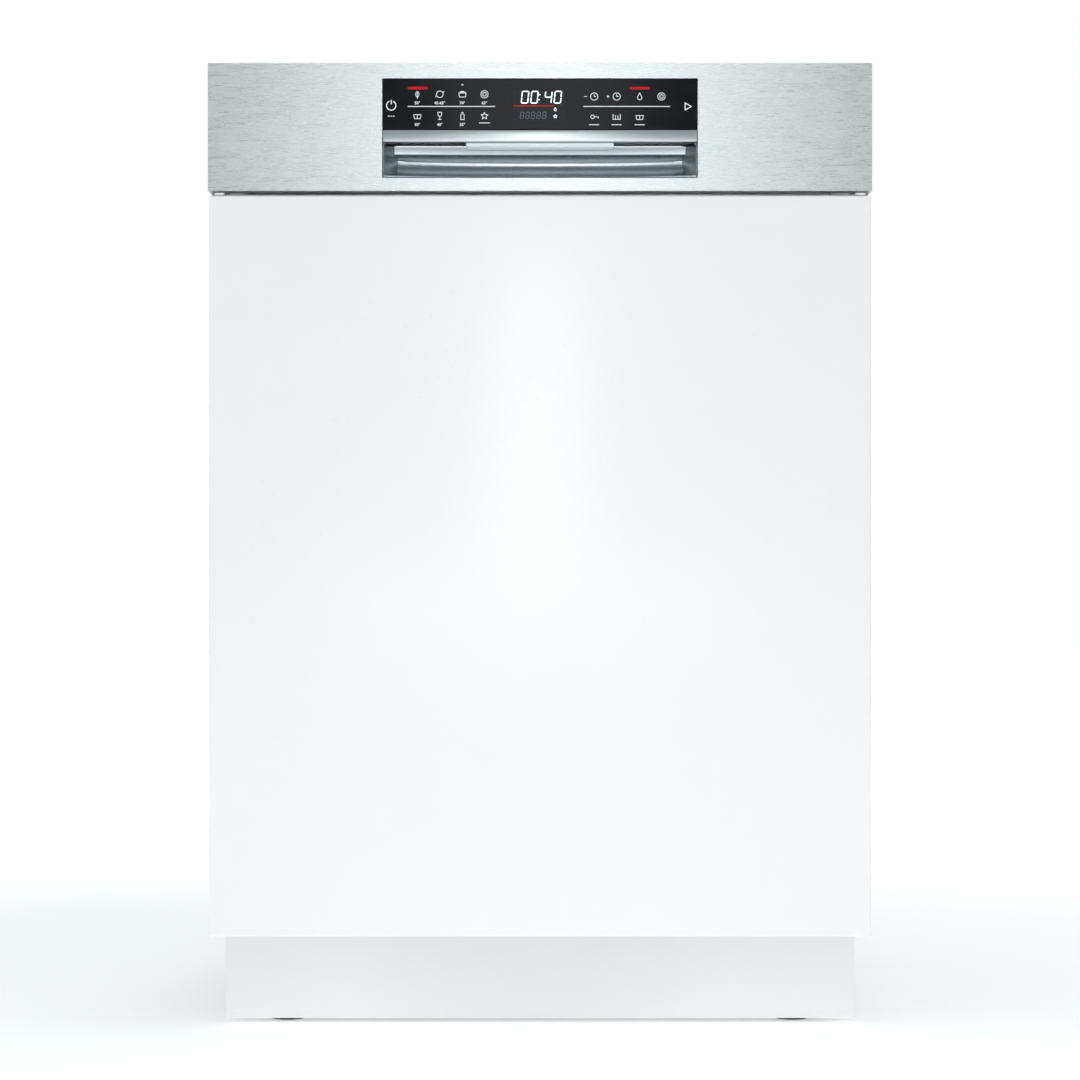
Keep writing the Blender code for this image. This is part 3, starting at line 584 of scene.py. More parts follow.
def addPath(mesh, points, radius, sides=6, closed=False):
    # a wire bent through a list of points
    curve = bpy.data.curves.new("wire", "CURVE")
    curve.dimensions = "3D"
    curve.bevel_depth = radius
    curve.bevel_resolution = max(0, sides // 2 - 2)
    curve.use_fill_caps = True
    spline = curve.splines.new("POLY")
    spline.points.add(len(points) - 1)
    for slotPoint, place in zip(spline.points, points):
        slotPoint.co = (*place, 1)
    spline.use_cyclic_u = closed
    holder = bpy.data.objects.new("wire", curve)
    scene.collection.objects.link(holder)
    baked = bpy.data.meshes.new_from_object(holder)
    mesh.from_mesh(baked)
    bpy.data.objects.remove(holder)
    bpy.data.curves.remove(curve)
    bpy.data.meshes.remove(baked)
    return mesh


def arcPoints(centre, radius, startAngle, endAngle, steps):
    return [(centre[0] + radius * math.cos(math.radians(startAngle + (endAngle - startAngle) * i / steps)),
             centre[1] + radius * math.sin(math.radians(startAngle + (endAngle - startAngle) * i / steps)))
            for i in range(steps + 1)]


def evenly(start, end, count):
    return [start + (end - start) * i / (count - 1) for i in range(count)]


# floor

floorSetup = {"reach": 9.0, "tone": (0.93, 0.94, 0.945), "glow": 0.52, "farGlow": 0.55,
              "fadeStart": 0.9, "fadeEnd": 2.6}


def makeFloor(setup):
    material, tree, shader, vector = startMaterial("studioFloor")
    cloud = stretchedNoise(tree, vector, (1.4, 1.4, 1.4), 3)
    darker = tuple(0.985 * part for part in setup["tone"])
    tree.links.new(mixColour(tree, cloud, (*darker, 1), (*setup["tone"], 1)), shader.inputs["Base Color"])
    shader.inputs["Roughness"].default_value = 0.7
    shader.inputs["Emission Color"].default_value = (*setup["tone"], 1)
    # seen directly, the glow grows with distance, so the far floor stays as pale as the surround
    distance = addNode(tree, "ShaderNodeVectorMath", {"operation": "LENGTH"})
    tree.links.new(vector, distance.inputs[0])
    faded = addNode(tree, "ShaderNodeMapRange",
                    **{"From Min": setup["fadeStart"], "From Max": setup["fadeEnd"],
                       "To Min": 0.0, "To Max": setup["farGlow"]})
    tree.links.new(distance.outputs["Value"], faded.inputs["Value"])
    rays = tree.nodes.new("ShaderNodeLightPath")
    extra = mathNode(tree, "MULTIPLY", faded.outputs[0], rays.outputs["Is Camera Ray"])
    tree.links.new(mathNode(tree, "ADD", extra, setup["glow"]), shader.inputs["Emission Strength"])
    mesh = bmesh.new()
    bmesh.ops.create_grid(mesh, x_segments=1, y_segments=1, size=setup["reach"])
    data = bpy.data.meshes.new("floor")
    mesh.to_mesh(data)
    mesh.free()
    data.materials.append(material)
    floor = bpy.data.objects.new("floor", data)
    scene.collection.objects.link(floor)


makeFloor(floorSetup)


# pieces whose frame shape only needs its edges broken and its finish

# node: look, edge radius
plainPieces = {
    "furniture_panel": ("whiteLacquer", 0.0012),
    "kick_plate": ("whiteLacquer", 0.0006),
    "fascia": ("brushedSteel", 0.0006),
    "door_outer": ("galvanised", 0.0003),
    "control_glass": ("blackGlass", 0.0004),
    "control_board": ("circuitBoard", 0.0002),
    "door_lock": ("blackPlastic", 0.0010),
    "hinge_bracket_left": ("galvanised", 0.0004),
    "hinge_bracket_right": ("galvanised", 0.0004),
    "hinge_arm_left": ("galvanised", 0.0004),
    "hinge_arm_right": ("galvanised", 0.0004),
    "top_traverse": ("galvanised", 0.0003),
    "insulation_mat": ("bitumenFelt", 0.0015),
    "sump": ("basePlastic", 0.0010),
    "circulation_pump": ("blackPlastic", 0.0015),
    "drain_pump": ("blackPlastic", 0.0012),
    "softener": ("palePlastic", 0.0020),
    "riser_pipe": ("greyPlastic", 0.0025),
    "rail_outer_left": ("tubSteel", 0.0004),
    "rail_outer_right": ("tubSteel", 0.0004),
    "drawer_guide_left": ("greyPlastic", 0.0008),
    "drawer_guide_right": ("greyPlastic", 0.0008),
    "spray_duct": ("greyPlastic", 0.0030),
}

for node, (look, edge) in plainPieces.items():
    refineNode(node, look, edge)
print("plain pieces finished:", len(plainPieces))
# control window: trim bar, grip, prints and display

trimBarSetup = {"steps": 20, "crown": 0.0011, "fullness": 0.8, "endBevel": 0.0006}
pocketSetup = {"lipRise": 0.0006, "belly": 0.7972, "brow": 0.8035, "browDepth": 0.0158,
               "browFold": 0.0014, "browTop": 0.8108, "backGap": 0.0020, "roofRun": 0.0100,
               "fullness": 0.92, "columns": 64, "wallColumns": 5, "endWall": 0.0125,
               "fullDepth": 0.030, "middleSwell": 0.20, "floorRise": 0.0012, "sideGap": 0.0012,
               "sheet": 0.0010}
paddleSetup = {"bend": 0.8130, "lean": 0.0011, "corner": 0.0028, "edge": 0.0003}


def makeTrimBar(setup):
    low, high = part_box("trim_bar")
    middle, halfHeight = (low.z + high.z) / 2, (high.z - low.z) / 2
    mesh = bmesh.new()
    outline = [(low.x, high.y, high.z), (low.x, high.y, low.z)]
    for i in range(setup["steps"] + 1):
        angle = math.pi * (i / setup["steps"] - 0.5)
        outline.append((low.x, low.y + setup["crown"] * (1 - math.cos(angle) ** setup["fullness"]),
                        middle + halfHeight * math.sin(angle)))
    addPrism(mesh, outline, (high.x - low.x, 0, 0))
    bmesh.ops.recalc_face_normals(mesh, faces=mesh.faces)
    caps = [edge for edge in mesh.edges
            if len({round(vert.co.x, 5) for vert in edge.verts}) == 1]
    bmesh.ops.bevel(mesh, geom=caps, offset=setup["endBevel"], segments=2, profile=0.5,
                    affect="EDGES", material=-1, clamp_overlap=True)
    finishPiece("trimBarFront", mesh, "trim_bar", "trimSilver", smoothAngle=50, standsFor=True)


def pocketProfile(setup, low, high):
    # (depth, height) from the lower front lip, round the scoop, and up the brow above it
    lip, belly, brow = low.z + setup["lipRise"], setup["belly"], setup["brow"] + 0.0004
    browDepth, fold = setup["browDepth"], setup["browFold"]
    scoopDepth = high.y - low.y - setup["backGap"]
    profile = []
    for i in range(13):
        angle = math.pi / 2 * i / 12
        profile.append((scoopDepth * math.sin(angle) ** setup["fullness"],
                        belly - (belly - lip) * math.cos(angle)))
    for i in range(1, 8):
        angle = math.pi / 2 * i / 7
        profile.append((scoopDepth - setup["roofRun"] * (1 - math.cos(angle)),
                        belly + (brow - belly) * math.sin(angle)))
    for i in range(5):
        angle = math.pi / 2 * i / 4
        profile.append((browDepth + 0.0024 + fold * (1 - math.sin(angle)),
                        brow + fold * (1 - math.cos(angle))))
    return profile + [(browDepth + fold, setup["browTop"]), (browDepth, high.z - 0.0005)]


def makeGripPocket(setup):
    low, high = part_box("grip_pocket")
    profile = pocketProfile(setup, low, high)
    half = high.x - setup["sideGap"]
    wallSteps, middleSteps = setup["wallColumns"], setup["columns"]
    columns = 2 * wallSteps + middleSteps
    mesh = bmesh.new()
    bmesh.ops.create_grid(mesh, x_segments=columns, y_segments=len(profile) - 1, size=0.5)
    for vert in mesh.verts:
        column = round((vert.co.x + 0.5) * columns)
        depth, height = profile[round((vert.co.y + 0.5) * (len(profile) - 1))]
        reach = min(1.0, min(column, columns - column) / wallSteps)
        middle = max(-1.0, min(1.0, 2 * (column - wallSteps) / middleSteps - 1))
        depth *= 1.0 - setup["middleSwell"] * middle ** 2
        inset = setup["endWall"] * math.sqrt(max(0.0, depth) / setup["fullDepth"])
        floorRise = setup["floorRise"] * middle ** 4 * (1 if height < 0.80 else 0)
        x = middle * (half - inset) if reach >= 1.0 else math.copysign(half - inset * reach, middle)
        vert.co = (x, low.y + depth * reach, height + floorRise)
    # a narrow flange round the scoop, against the window's edge
    rim = [edge for edge in mesh.edges if edge.is_boundary
           and all(vert.co.z < high.z - 0.001 or abs(vert.co.x) > half - 0.0001 for vert in edge.verts)]
    flange = bmesh.ops.extrude_edge_only(mesh, edges=rim)["geom"]
    for item in flange:
        if isinstance(item, bmesh.types.BMVert):
            item.co.y = low.y + 0.0001
            if abs(item.co.x) > half - 0.0005:
                item.co.x = math.copysign(high.x, item.co.x)
            if item.co.z < low.z + 0.004:
                item.co.z = low.z
    bmesh.ops.recalc_face_normals(mesh, faces=mesh.faces)
    if sum(face.normal.y * face.calc_area() for face in mesh.faces) > 0:
        bmesh.ops.reverse_faces(mesh, faces=mesh.faces)
    pocket = finishPiece("gripPocketScoop", mesh, "grip_pocket", "pocketSilver", smoothAngle=40,
                         standsFor=True)
    wall = pocket.modifiers.new("wall", "SOLIDIFY")
    wall.thickness = setup["sheet"]
    wall.offset = -1


def makePaddle(setup):
    # a bent strip: its lip leans back under the fingers
    low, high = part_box("release_paddle")
    outline = [(low.x, low.y, high.z), (low.x, low.y, setup["bend"]),
               (low.x, low.y + setup["lean"], low.z), (low.x, high.y, low.z), (low.x, high.y, high.z)]
    mesh = bmesh.new()
    addPrism(mesh, outline, (high.x - low.x, 0, 0))
    bmesh.ops.recalc_face_normals(mesh, faces=mesh.faces)
    corners = [edge for edge in mesh.edges
               if all(vert.co.z < low.z + 0.001 for vert in edge.verts)
               and abs(edge.verts[0].co.x - edge.verts[1].co.x) < 0.001]
    bmesh.ops.bevel(mesh, geom=corners, offset=setup["corner"], segments=5, profile=0.5,
                    affect="EDGES", material=-1, clamp_overlap=True)
    finishPiece("paddleLip", mesh, "release_paddle", "paddleSilver", setup["edge"], standsFor=True)


printSetup = {"thickness": 0.00006, "stroke": 0.00048, "iconSize": 0.0033, "digitHeight": 0.0105,
              "digitWidth": 0.0058, "digitStroke": 0.00105, "slant": 0.10}
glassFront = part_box("control_glass")[0].y


def addStroke(mesh, points, width):
    # a printed line: one thin strip for each stretch, with a round dot at each bend
    front = glassFront - printSetup["thickness"] / 2
    for (x0, z0), (x1, z1) in zip(points, points[1:]):
        length = math.hypot(x1 - x0, z1 - z0)
        if length < 1e-6:
            continue
        strip = bmesh.ops.create_cube(mesh, size=1.0)["verts"]
        bmesh.ops.scale(mesh, vec=(length, printSetup["thickness"], width), verts=strip)
        turn = Matrix.Rotation(-math.atan2(z1 - z0, x1 - x0), 3, "Y")
        bmesh.ops.rotate(mesh, cent=(0, 0, 0), matrix=turn, verts=strip)
        bmesh.ops.translate(mesh, vec=((x0 + x1) / 2, front, (z0 + z1) / 2), verts=strip)
    for x, z in points:
        addRod(mesh, (x, front - printSetup["thickness"] / 2, z),
               (x, front + printSetup["thickness"] / 2, z), width / 2, 8)


def addBar(mesh, x0, x1, z0, z1):
    middle = (z0 + z1) / 2
    half = (z1 - z0) / 2
    addStroke(mesh, [(x0 + half, middle), (x1 - half, middle)], z1 - z0)


# icons in a square from -1 to 1, each a list of strokes
ringIcon = arcPoints((0, 0), 1.0, 0, 360, 16)
starIcon = [((1.0 if i % 2 == 0 else 0.45) * math.sin(math.pi * i / 5),
             (1.0 if i % 2 == 0 else 0.45) * math.cos(math.pi * i / 5)) for i in range(11)]
potIcon = [(-1, 0.35), (-0.8, -0.75), (0.8, -0.75), (1, 0.35), (-1, 0.35)]
glassIcon = [(-0.55, 1), (-0.45, 0.1), (0, -0.2), (0.45, 0.1), (0.55, 1), (-0.55, 1)]
plateIcon = arcPoints((0, 0), 0.5, 0, 360, 10)
leafIcon = arcPoints((-0.55, 0), 1.0, -52, 52, 6) + arcPoints((0.55, 0), 1.0, 128, 232, 6)
iconStrokes = {
    "power": [arcPoints((0, 0), 1.0, 118, 422, 16), [(0, 0.25), (0, 1.15)]],
    "clock": [ringIcon, [(0, 0.62), (0, 0), (0.45, 0)]],
    "plate": [ringIcon, plateIcon],
    "pot": [potIcon, [(-0.35, 0.75), (0.35, 0.75)], [(-0.7, 0.62), (0.7, 0.62)]],
    "glass": [glassIcon, [(0, -0.2), (0, -0.9)], [(-0.4, -0.95), (0.4, -0.95)]],
    "star": [starIcon],
    "leaf": [leafIcon, [(0, -1.1), (0, 0.5)]],
    "swirl": [arcPoints((0, 0), 0.9, 20, 200, 10), arcPoints((0, 0), 0.9, 215, 370, 10),
              [(0.85, 0.3), (1.15, 0.75)], [(-0.85, -0.3), (-1.15, -0.75)]],
    "half": [potIcon, [(0, 0.35), (0, -0.75)]],
    "drop": [arcPoints((0, -0.3), 0.6, -220, 40, 10) + [(0, 1.0), (-0.46, 0.09)]],
    "bottle": [[(-0.45, -1), (-0.45, 0.3), (-0.15, 0.6), (-0.15, 1), (0.15, 1), (0.15, 0.6),
                (0.45, 0.3), (0.45, -1), (-0.45, -1)]],
    "key": [arcPoints((-0.45, 0), 0.5, 0, 360, 10), [(0.05, 0), (1.1, 0), (1.1, -0.4)]],
    "play": [[(-0.7, -0.95), (-0.7, 0.95), (0.95, 0), (-0.7, -0.95)]],
    "plus": [[(-0.5, 0), (0.5, 0)], [(0, -0.5), (0, 0.5)]],
    "minus": [[(-0.5, 0), (0.5, 0)]],
    "rack": [[(-1, 0.7), (-1, -0.7), (1, -0.7), (1, 0.7)], [(-0.35, 0.4), (-0.35, -0.7)],
             [(0.35, 0.4), (0.35, -0.7)]],
    "chevron": [[(-0.7, -0.3), (0, 0.4), (0.7, -0.3)]],
}


def addIcon(mesh, name, x, z, size, stroke=None):
    for points in iconStrokes[name]:
        addStroke(mesh, [(x + size * px, z + size * pz) for px, pz in points],
                  stroke or printSetup["stroke"])


def addFigures(mesh, words, x, z, size):
    # small figures, such as a temperature, made a mesh and laid on the glass
    curve = bpy.data.curves.new("figures", "FONT")
    curve.body = words
    curve.size = size
    curve.align_x = "CENTER"
    curve.extrude = printSetup["thickness"] / 2
    curve.resolution_u = 2
    curve.offset = 0.00004
    holder = bpy.data.objects.new("figures", curve)
    scene.collection.objects.link(holder)
    bpy.context.view_layer.update()
    flat = bpy.data.meshes.new_from_object(holder.evaluated_get(bpy.context.evaluated_depsgraph_get()))
    flat.transform(Matrix.Translation((x, glassFront - printSetup["thickness"] / 2, z))
                   @ Matrix.Rotation(math.radians(90), 4, "X"))
    mesh.from_mesh(flat)
    bpy.data.objects.remove(holder)
    bpy.data.curves.remove(curve)
    bpy.data.meshes.remove(flat)


# which strokes of a seven-stroke figure are lit
litStrokes = {"0": "abcdef", "4": "fgbc", "8": "abcdefg"}


def addDigit(mesh, figure, x, z, height, width, stroke):
    half, middle = width / 2, z + height / 2
    inset = stroke * 0.72
    ends = {
        "a": ((-half, z + height), (half, z + height)), "g": ((-half, middle), (half, middle)),
        "d": ((-half, z), (half, z)), "f": ((-half, middle), (-half, z + height)),
        "b": ((half, middle), (half, z + height)), "e": ((-half, z), (-half, middle)),
        "c": ((half, z), (half, middle))}
    for name in litStrokes[figure]:
        points = []
        (x0, z0), (x1, z1) = ends[name]
        for px, pz in ((x0, z0), (x1, z1)):
            pull = inset * (1 if x0 == x1 else 0)
            pz += pull if pz == min(z0, z1) and x0 == x1 else (-pull if x0 == x1 else 0)
            px += 0 if x0 == x1 else (inset if px == x0 else -inset)
            points.append((x + px + printSetup["slant"] * (pz - z), pz))
        addStroke(mesh, points, stroke * 0.9)


# x, z and icon of each printed touch field, in two rows of programs and two of options
programMarks = [
    (-0.1104, 0.8569, "leaf", "50°"), (-0.0902, 0.8569, "swirl", "45-65°"),
    (-0.0698, 0.8569, "pot", "70°"), (-0.0500, 0.8569, "plate", "65°"),
    (-0.1104, 0.8374, "half", "50°"), (-0.0902, 0.8374, "glass", "40°"),
    (-0.0698, 0.8374, "bottle", "35°"), (-0.0500, 0.8374, "star", None)]
optionMarks = [
    (0.0488, 0.8549, "clock"), (0.0690, 0.8549, "clock"), (0.0897, 0.8549, "drop"),
    (0.1093, 0.8549, "plate"), (0.0488, 0.8366, "key"), (0.0690, 0.8366, "rack"),
    (0.0897, 0.8366, "half")]
# ink, icon, x, z, size and stroke of the marks that stand alone
loneMarks = [
    ("white", "power", -0.1339, 0.8468, 0.0042, 0.00075),
    ("white", "chevron", -0.0698, 0.8655, 0.0012, 0.00048),
    ("white", "minus", 0.0410, 0.8549, 0.0020, 0.00048),
    ("white", "plus", 0.0612, 0.8549, 0.0020, 0.00048),
    ("white", "play", 0.1330, 0.8459, 0.0034, 0.0007),
    ("glow", "drop", 0.0137, 0.8434, 0.0016, 0.00040),
    ("glow", "star", 0.0137, 0.8370, 0.0017, 0.00035)]
# ink, left, right, foot and top of the bars: two rules, three lit fields
loneBars = [
    ("white", -0.1191, -0.0402, 0.84565, 0.84625), ("white", 0.0390, 0.1171, 0.84565, 0.84625),
    ("red", -0.1191, -0.1008, 0.8612, 0.8638), ("red", 0.0807, 0.0987, 0.8612, 0.8636),
    ("red", -0.0243, 0.0132, 0.84590, 0.84690)]
inkLooks = {"white": "whitePrint", "red": "redPrint", "dim": "dimPrint", "glow": "digitGlow"}
clockSetup = {"start": -0.0140, "pitch": 0.0085, "foot": 0.8490, "colonGap": 0.0040,
              "colonHeights": (0.8520, 0.8565)}
unlitSetup = {"start": -0.0165, "pitch": 0.0050, "foot": 0.8350, "height": 0.0058,
              "width": 0.0030, "stroke": 0.0006}
displayWindow = ((-0.0243, 0.8331), (0.0225, 0.8604))


def makePrints(setup):
    inks = {ink: bmesh.new() for ink in inkLooks}
    white = inks["white"]
    for ink, icon, x, z, size, stroke in loneMarks:
        addIcon(inks[ink], icon, x, z, size, stroke)
    for ink, left, right, foot, top in loneBars:
        addBar(inks[ink], left, right, foot, top)
    for offset in (-0.0022, 0.0, 0.0022):
        # three dashes under the power mark
        addBar(white, -0.1339 + offset - 0.0008, -0.1339 + offset + 0.0008, 0.8370, 0.8376)
    for x, z, icon, figures in programMarks:
        addIcon(white, icon, x, z, setup["iconSize"])
        if figures:
            addFigures(white, figures, x, z - 0.0090, 0.0036)
        else:
            addBar(white, x - 0.0050, x + 0.0050, z - 0.0066, z - 0.0060)
    for x, z, icon in optionMarks:
        addIcon(white, icon, x, z, setup["iconSize"])
        if z < 0.85:
            addBar(white, x - 0.0046, x + 0.0046, z - 0.0074, z - 0.0068)
    for i, figure in enumerate("0040"):
        x = clockSetup["start"] + i * clockSetup["pitch"] + (clockSetup["colonGap"] if i > 1 else 0)
        addDigit(inks["glow"], figure, x, clockSetup["foot"], setup["digitHeight"],
                 setup["digitWidth"], setup["digitStroke"])
    for z in clockSetup["colonHeights"]:
        addIcon(inks["glow"], "minus", clockSetup["start"] + 0.0130
                + setup["slant"] * (z - clockSetup["foot"]), z, 0.0005, 0.0009)
    for i in range(5):
        addDigit(inks["dim"], "8", unlitSetup["start"] + i * unlitSetup["pitch"], unlitSetup["foot"],
                 unlitSetup["height"], unlitSetup["width"], unlitSetup["stroke"])
    for ink, name in (("white", "whitePrints"), ("red", "redPrints"), ("dim", "dimPrints"),
                      ("glow", "digitPrints")):
        finishPiece(name, inks[ink], "control_glass", inkLooks[ink])
    (left, foot), (right, top) = displayWindow
    tint = addBlock(bmesh.new(), (left, glassFront - 0.00002, foot), (right, glassFront + 0.00002, top))
    finishPiece("displayTint", tint, "control_glass", "displayTint")


makeTrimBar(trimBarSetup)
makeGripPocket(pocketSetup)
makePaddle(paddleSetup)
makePrints(printSetup)
print("control window finished")


# wire goods: baskets, tines and shelf

wireSetup = {"rim": 0.0026, "wire": 0.0017, "corner": 0.016, "bend": 0.012}


def centreOf(node):
    low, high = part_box(node)
    return (low + high) / 2


def roundedRing(low, high, z, corner):
    # a flat ring with rounded corners, as points
    points = []
    for x, y, start in ((high[0] - corner, high[1] - corner, 0), (low[0] + corner, high[1] - corner, 90),
                        (low[0] + corner, low[1] + corner, 180), (high[0] - corner, low[1] + corner, 270)):
        points += [(px, py, z) for px, py in arcPoints((x, y), corner, start, start + 90, 4)]
    return points


def bentU(start, end, top, bottom, bend):
    # (sideways, height) points of a wire that goes down, across and up again
    points = [(start, top)]
    points += arcPoints((start + bend, bottom + bend), bend, 180, 270, 4)
    points += arcPoints((end - bend, bottom + bend), bend, 270, 360, 4)
    return points + [(end, top)]


def addTines(mesh, x, yStart, yEnd, count, foot, top, lean=0.0):
    addPath(mesh, [(x, yStart - 0.010, foot), (x, yEnd + 0.010, foot)], wireSetup["wire"])
    for y in evenly(yStart, yEnd, count):
        tip = x + lean
        addPath(mesh, [(x, y, foot), (x + lean * 0.55, y, (foot + top) / 2), (tip, y, top)],
                wireSetup["wire"])
        bmesh.ops.create_icosphere(mesh, subdivisions=1, radius=wireSetup["wire"] * 1.3,
                                   matrix=Matrix.Translation((tip, y, top)))


def addCage(mesh, low, high, rings, across, along):
    rim, wire, bend = wireSetup["rim"], wireSetup["wire"], wireSetup["bend"]
    floor = low.z + 2 * wire
    inset = 2 * rim
    corner = wireSetup["corner"]
    addPath(mesh, roundedRing((low.x + rim, low.y + rim), (high.x - rim, high.y - rim),
                              high.z - rim, corner), rim, 8, True)
    for z in rings:
        shrink = inset + 0.0015
        addPath(mesh, roundedRing((low.x + shrink, low.y + shrink), (high.x - shrink, high.y - shrink),
                                  z, corner), wire, 6, True)
    for y in evenly(low.y + 0.024, high.y - 0.024, across):
        addPath(mesh, [(x, y, z) for x, z in
                       bentU(low.x + inset, high.x - inset, high.z - rim, floor, bend)], wire)
    for x in evenly(low.x + 0.030, high.x - 0.030, along):
        addPath(mesh, [(x, y, z) for y, z in
                       bentU(low.y + inset, high.y - inset, high.z - rim, floor + 2 * wire, bend)], wire)


def addHandle(mesh, low, high, halfWidth):
    # a moulded grip clipped over the front rim
    addBlock(mesh, (-halfWidth, low.y - 0.001, high.z - 0.017), (halfWidth, low.y + 0.0075, high.z),
             0.0022, 3)
    for x in evenly(-halfWidth + 0.02, halfWidth - 0.02, 9):
        addBlock(mesh, (x - 0.0012, low.y - 0.0018, high.z - 0.0135),
                 (x + 0.0012, low.y - 0.0005, high.z - 0.004), 0.0004, 1)


lowerBasketSetup = {
    "low": (-0.250, -0.185, 0.262), "high": (0.250, 0.235, 0.420), "rings": (0.300, 0.345, 0.385),
    "bars": (13, 13), "handleHalf": 0.095, "tineFoot": 0.2695,
    # x, first y, last y, count, top and lean of each row of tines
    "tines": [(x, -0.150, 0.205, 13, 0.325, 0.0) for x in (-0.195, -0.150, 0.150, 0.195)]
             + [(x, -0.050, 0.205, 10, 0.318, 0.0) for x in (-0.040, 0.040)],
    "bracket": (0.2440, 0.2495), "bracketFoot": 0.198, "bracketTop": 0.2700, "axleHeight": 0.2060,
    "axle": (0.2450, 0.2630, 0.0038), "axleCap": (0.2628, 0.2638, 0.0055)}
upperBasketSetup = {
    "low": (-0.245, -0.190, 0.535), "high": (0.245, 0.235, 0.660), "rings": (0.565, 0.600, 0.632),
    "bars": (13, 13), "handleHalf": 0.080, "tineFoot": 0.5425,
    "tines": [(x, -0.165, 0.205, 12, 0.590, lean)
              for x, lean in ((-0.205, -0.008), (-0.120, -0.008), (-0.060, 0.006), (0.060, -0.006),
                              (0.120, 0.008), (0.205, 0.008))],
    "slider": (0.2490, 0.2600), "pad": 0.0004, "padCount": 7, "lifter": (0.2430, 0.2500)}


def makeBasketWires(node, setup):
    low, high = Vector(setup["low"]), Vector(setup["high"])
    mesh = bmesh.new()
    addCage(mesh, low, high, setup["rings"], *setup["bars"])
    for x, yStart, yEnd, count, top, lean in setup["tines"]:
        addTines(mesh, x, yStart, yEnd, count, setup["tineFoot"], top, lean)
    finishPiece(node.split("_")[0] + "BasketWires", mesh, node, "wireCoat", smoothAngle=50,
                standsFor=True)
    plastic = bmesh.new()
    addHandle(plastic, low, high, setup["handleHalf"])
    return plastic


def sidePair(side, near, far):
    # two distances from the middle, as lowest and highest x on that side
    return sorted((side * near, side * far))


def makeLowerBasket(setup):
    plastic = makeBasketWires("lower_basket", setup)
    height = setup["axleHeight"]
    for side in (-1, 1):
        for node in ("wheel_front_right", "wheel_rear_right"):
            y = centreOf(node).y
            xs = sidePair(side, *setup["bracket"])
            addBlock(plastic, (xs[0], y - 0.011, setup["bracketFoot"]),
                     (xs[1], y + 0.011, setup["bracketTop"]), 0.0012)
            for near, far, radius in (setup["axle"], setup["axleCap"]):
                addRod(plastic, (side * near, y, height), (side * far, y, height), radius, 14)
    finishPiece("lowerBasketPlastics", plastic, "lower_basket", "greyPlastic", 0.0003)


def makeUpperBasket(setup):
    plastic = makeBasketWires("upper_basket", setup)
    pad = setup["pad"]
    for side in (-1, 1):
        xs = sidePair(side, *setup["slider"])
        addBlock(plastic, (xs[0], -0.189, 0.605), (xs[1], 0.234, 0.625), 0.0016)
        for y in evenly(-0.160, 0.205, setup["padCount"]):
            addBlock(plastic, (xs[0] - pad, y - 0.016, 0.6085), (xs[1] + pad, y + 0.016, 0.6215), 0.0008)
        lift = sidePair(side, *setup["lifter"])
        addBlock(plastic, (lift[0], -0.030, 0.585), (lift[1], 0.070, 0.652), 0.0014)
    finishPiece("upperBasketPlastics", plastic, "upper_basket", "greyPlastic", 0.0003)


tineRowSetup = {"x": 0.100, "hinge": 0.2745, "reach": 0.0775, "shaft": 0.0030, "tine": 0.0019,
                "ball": 0.0026, "collar": 0.0038, "count": 9}


def makeTineRow(node, side, setup):
    mesh = bmesh.new()
    x, height = side * setup["x"], setup["hinge"]
    top = height + setup["reach"]
    addRod(mesh, (x, -0.055, height), (x, 0.205, height), setup["shaft"], 10)
    for y in evenly(-0.045, 0.195, setup["count"]):
        addPath(mesh, [(x, y, height), (x, y, top)], setup["tine"], 8)
        bmesh.ops.create_icosphere(mesh, subdivisions=2, radius=setup["ball"],
                                   matrix=Matrix.Translation((x, y, top)))
        addRod(mesh, (x, y - 0.003, height), (x, y + 0.003, height), setup["collar"], 10)
    finishPiece(node + "Wires", mesh, node, "wireCoat", smoothAngle=45, standsFor=True)


wheelSetup = {"half": 0.0054, "bore": 0.0047, "hub": 0.0080, "web": 0.0125, "rim": 0.0158,
              "spokes": 5, "spokeAt": 0.0102, "spokeSize": (0.0062, 0.0018, 0.0080)}


def makeWheel(node, setup):
    half, bore, hub, web, rim = (setup[key] for key in ("half", "bore", "hub", "web", "rim"))
    profile = [(bore, -half), (hub, -half), (hub, -0.0016), (web, -0.0016), (web + 0.0003, -half),
               (rim - 0.0008, -half), (rim, 0.0010 - half), (rim, half - 0.0010),
               (rim - 0.0008, half), (web + 0.0003, half), (web, 0.0016), (hub, 0.0016),
               (hub, half), (bore, half), (bore, -half)]
    mesh = addTurned(bmesh.new(), profile, (0, 0), 36)
    for turn in range(setup["spokes"]):
        spoke = (Matrix.Rotation(math.tau * turn / setup["spokes"], 4, "Z")
                 @ Matrix.Translation((setup["spokeAt"], 0, 0))
                 @ Matrix.Diagonal((*setup["spokeSize"], 1)))
        bmesh.ops.create_cube(mesh, size=1.0, matrix=spoke)
    bmesh.ops.rotate(mesh, cent=(0, 0, 0), matrix=Matrix.Rotation(math.radians(90), 3, "Y"),
                     verts=mesh.verts)
    bmesh.ops.translate(mesh, vec=centreOf(node), verts=mesh.verts)
    finishPiece(node + "Turned", mesh, node, "greyPlastic", smoothAngle=35, standsFor=True)


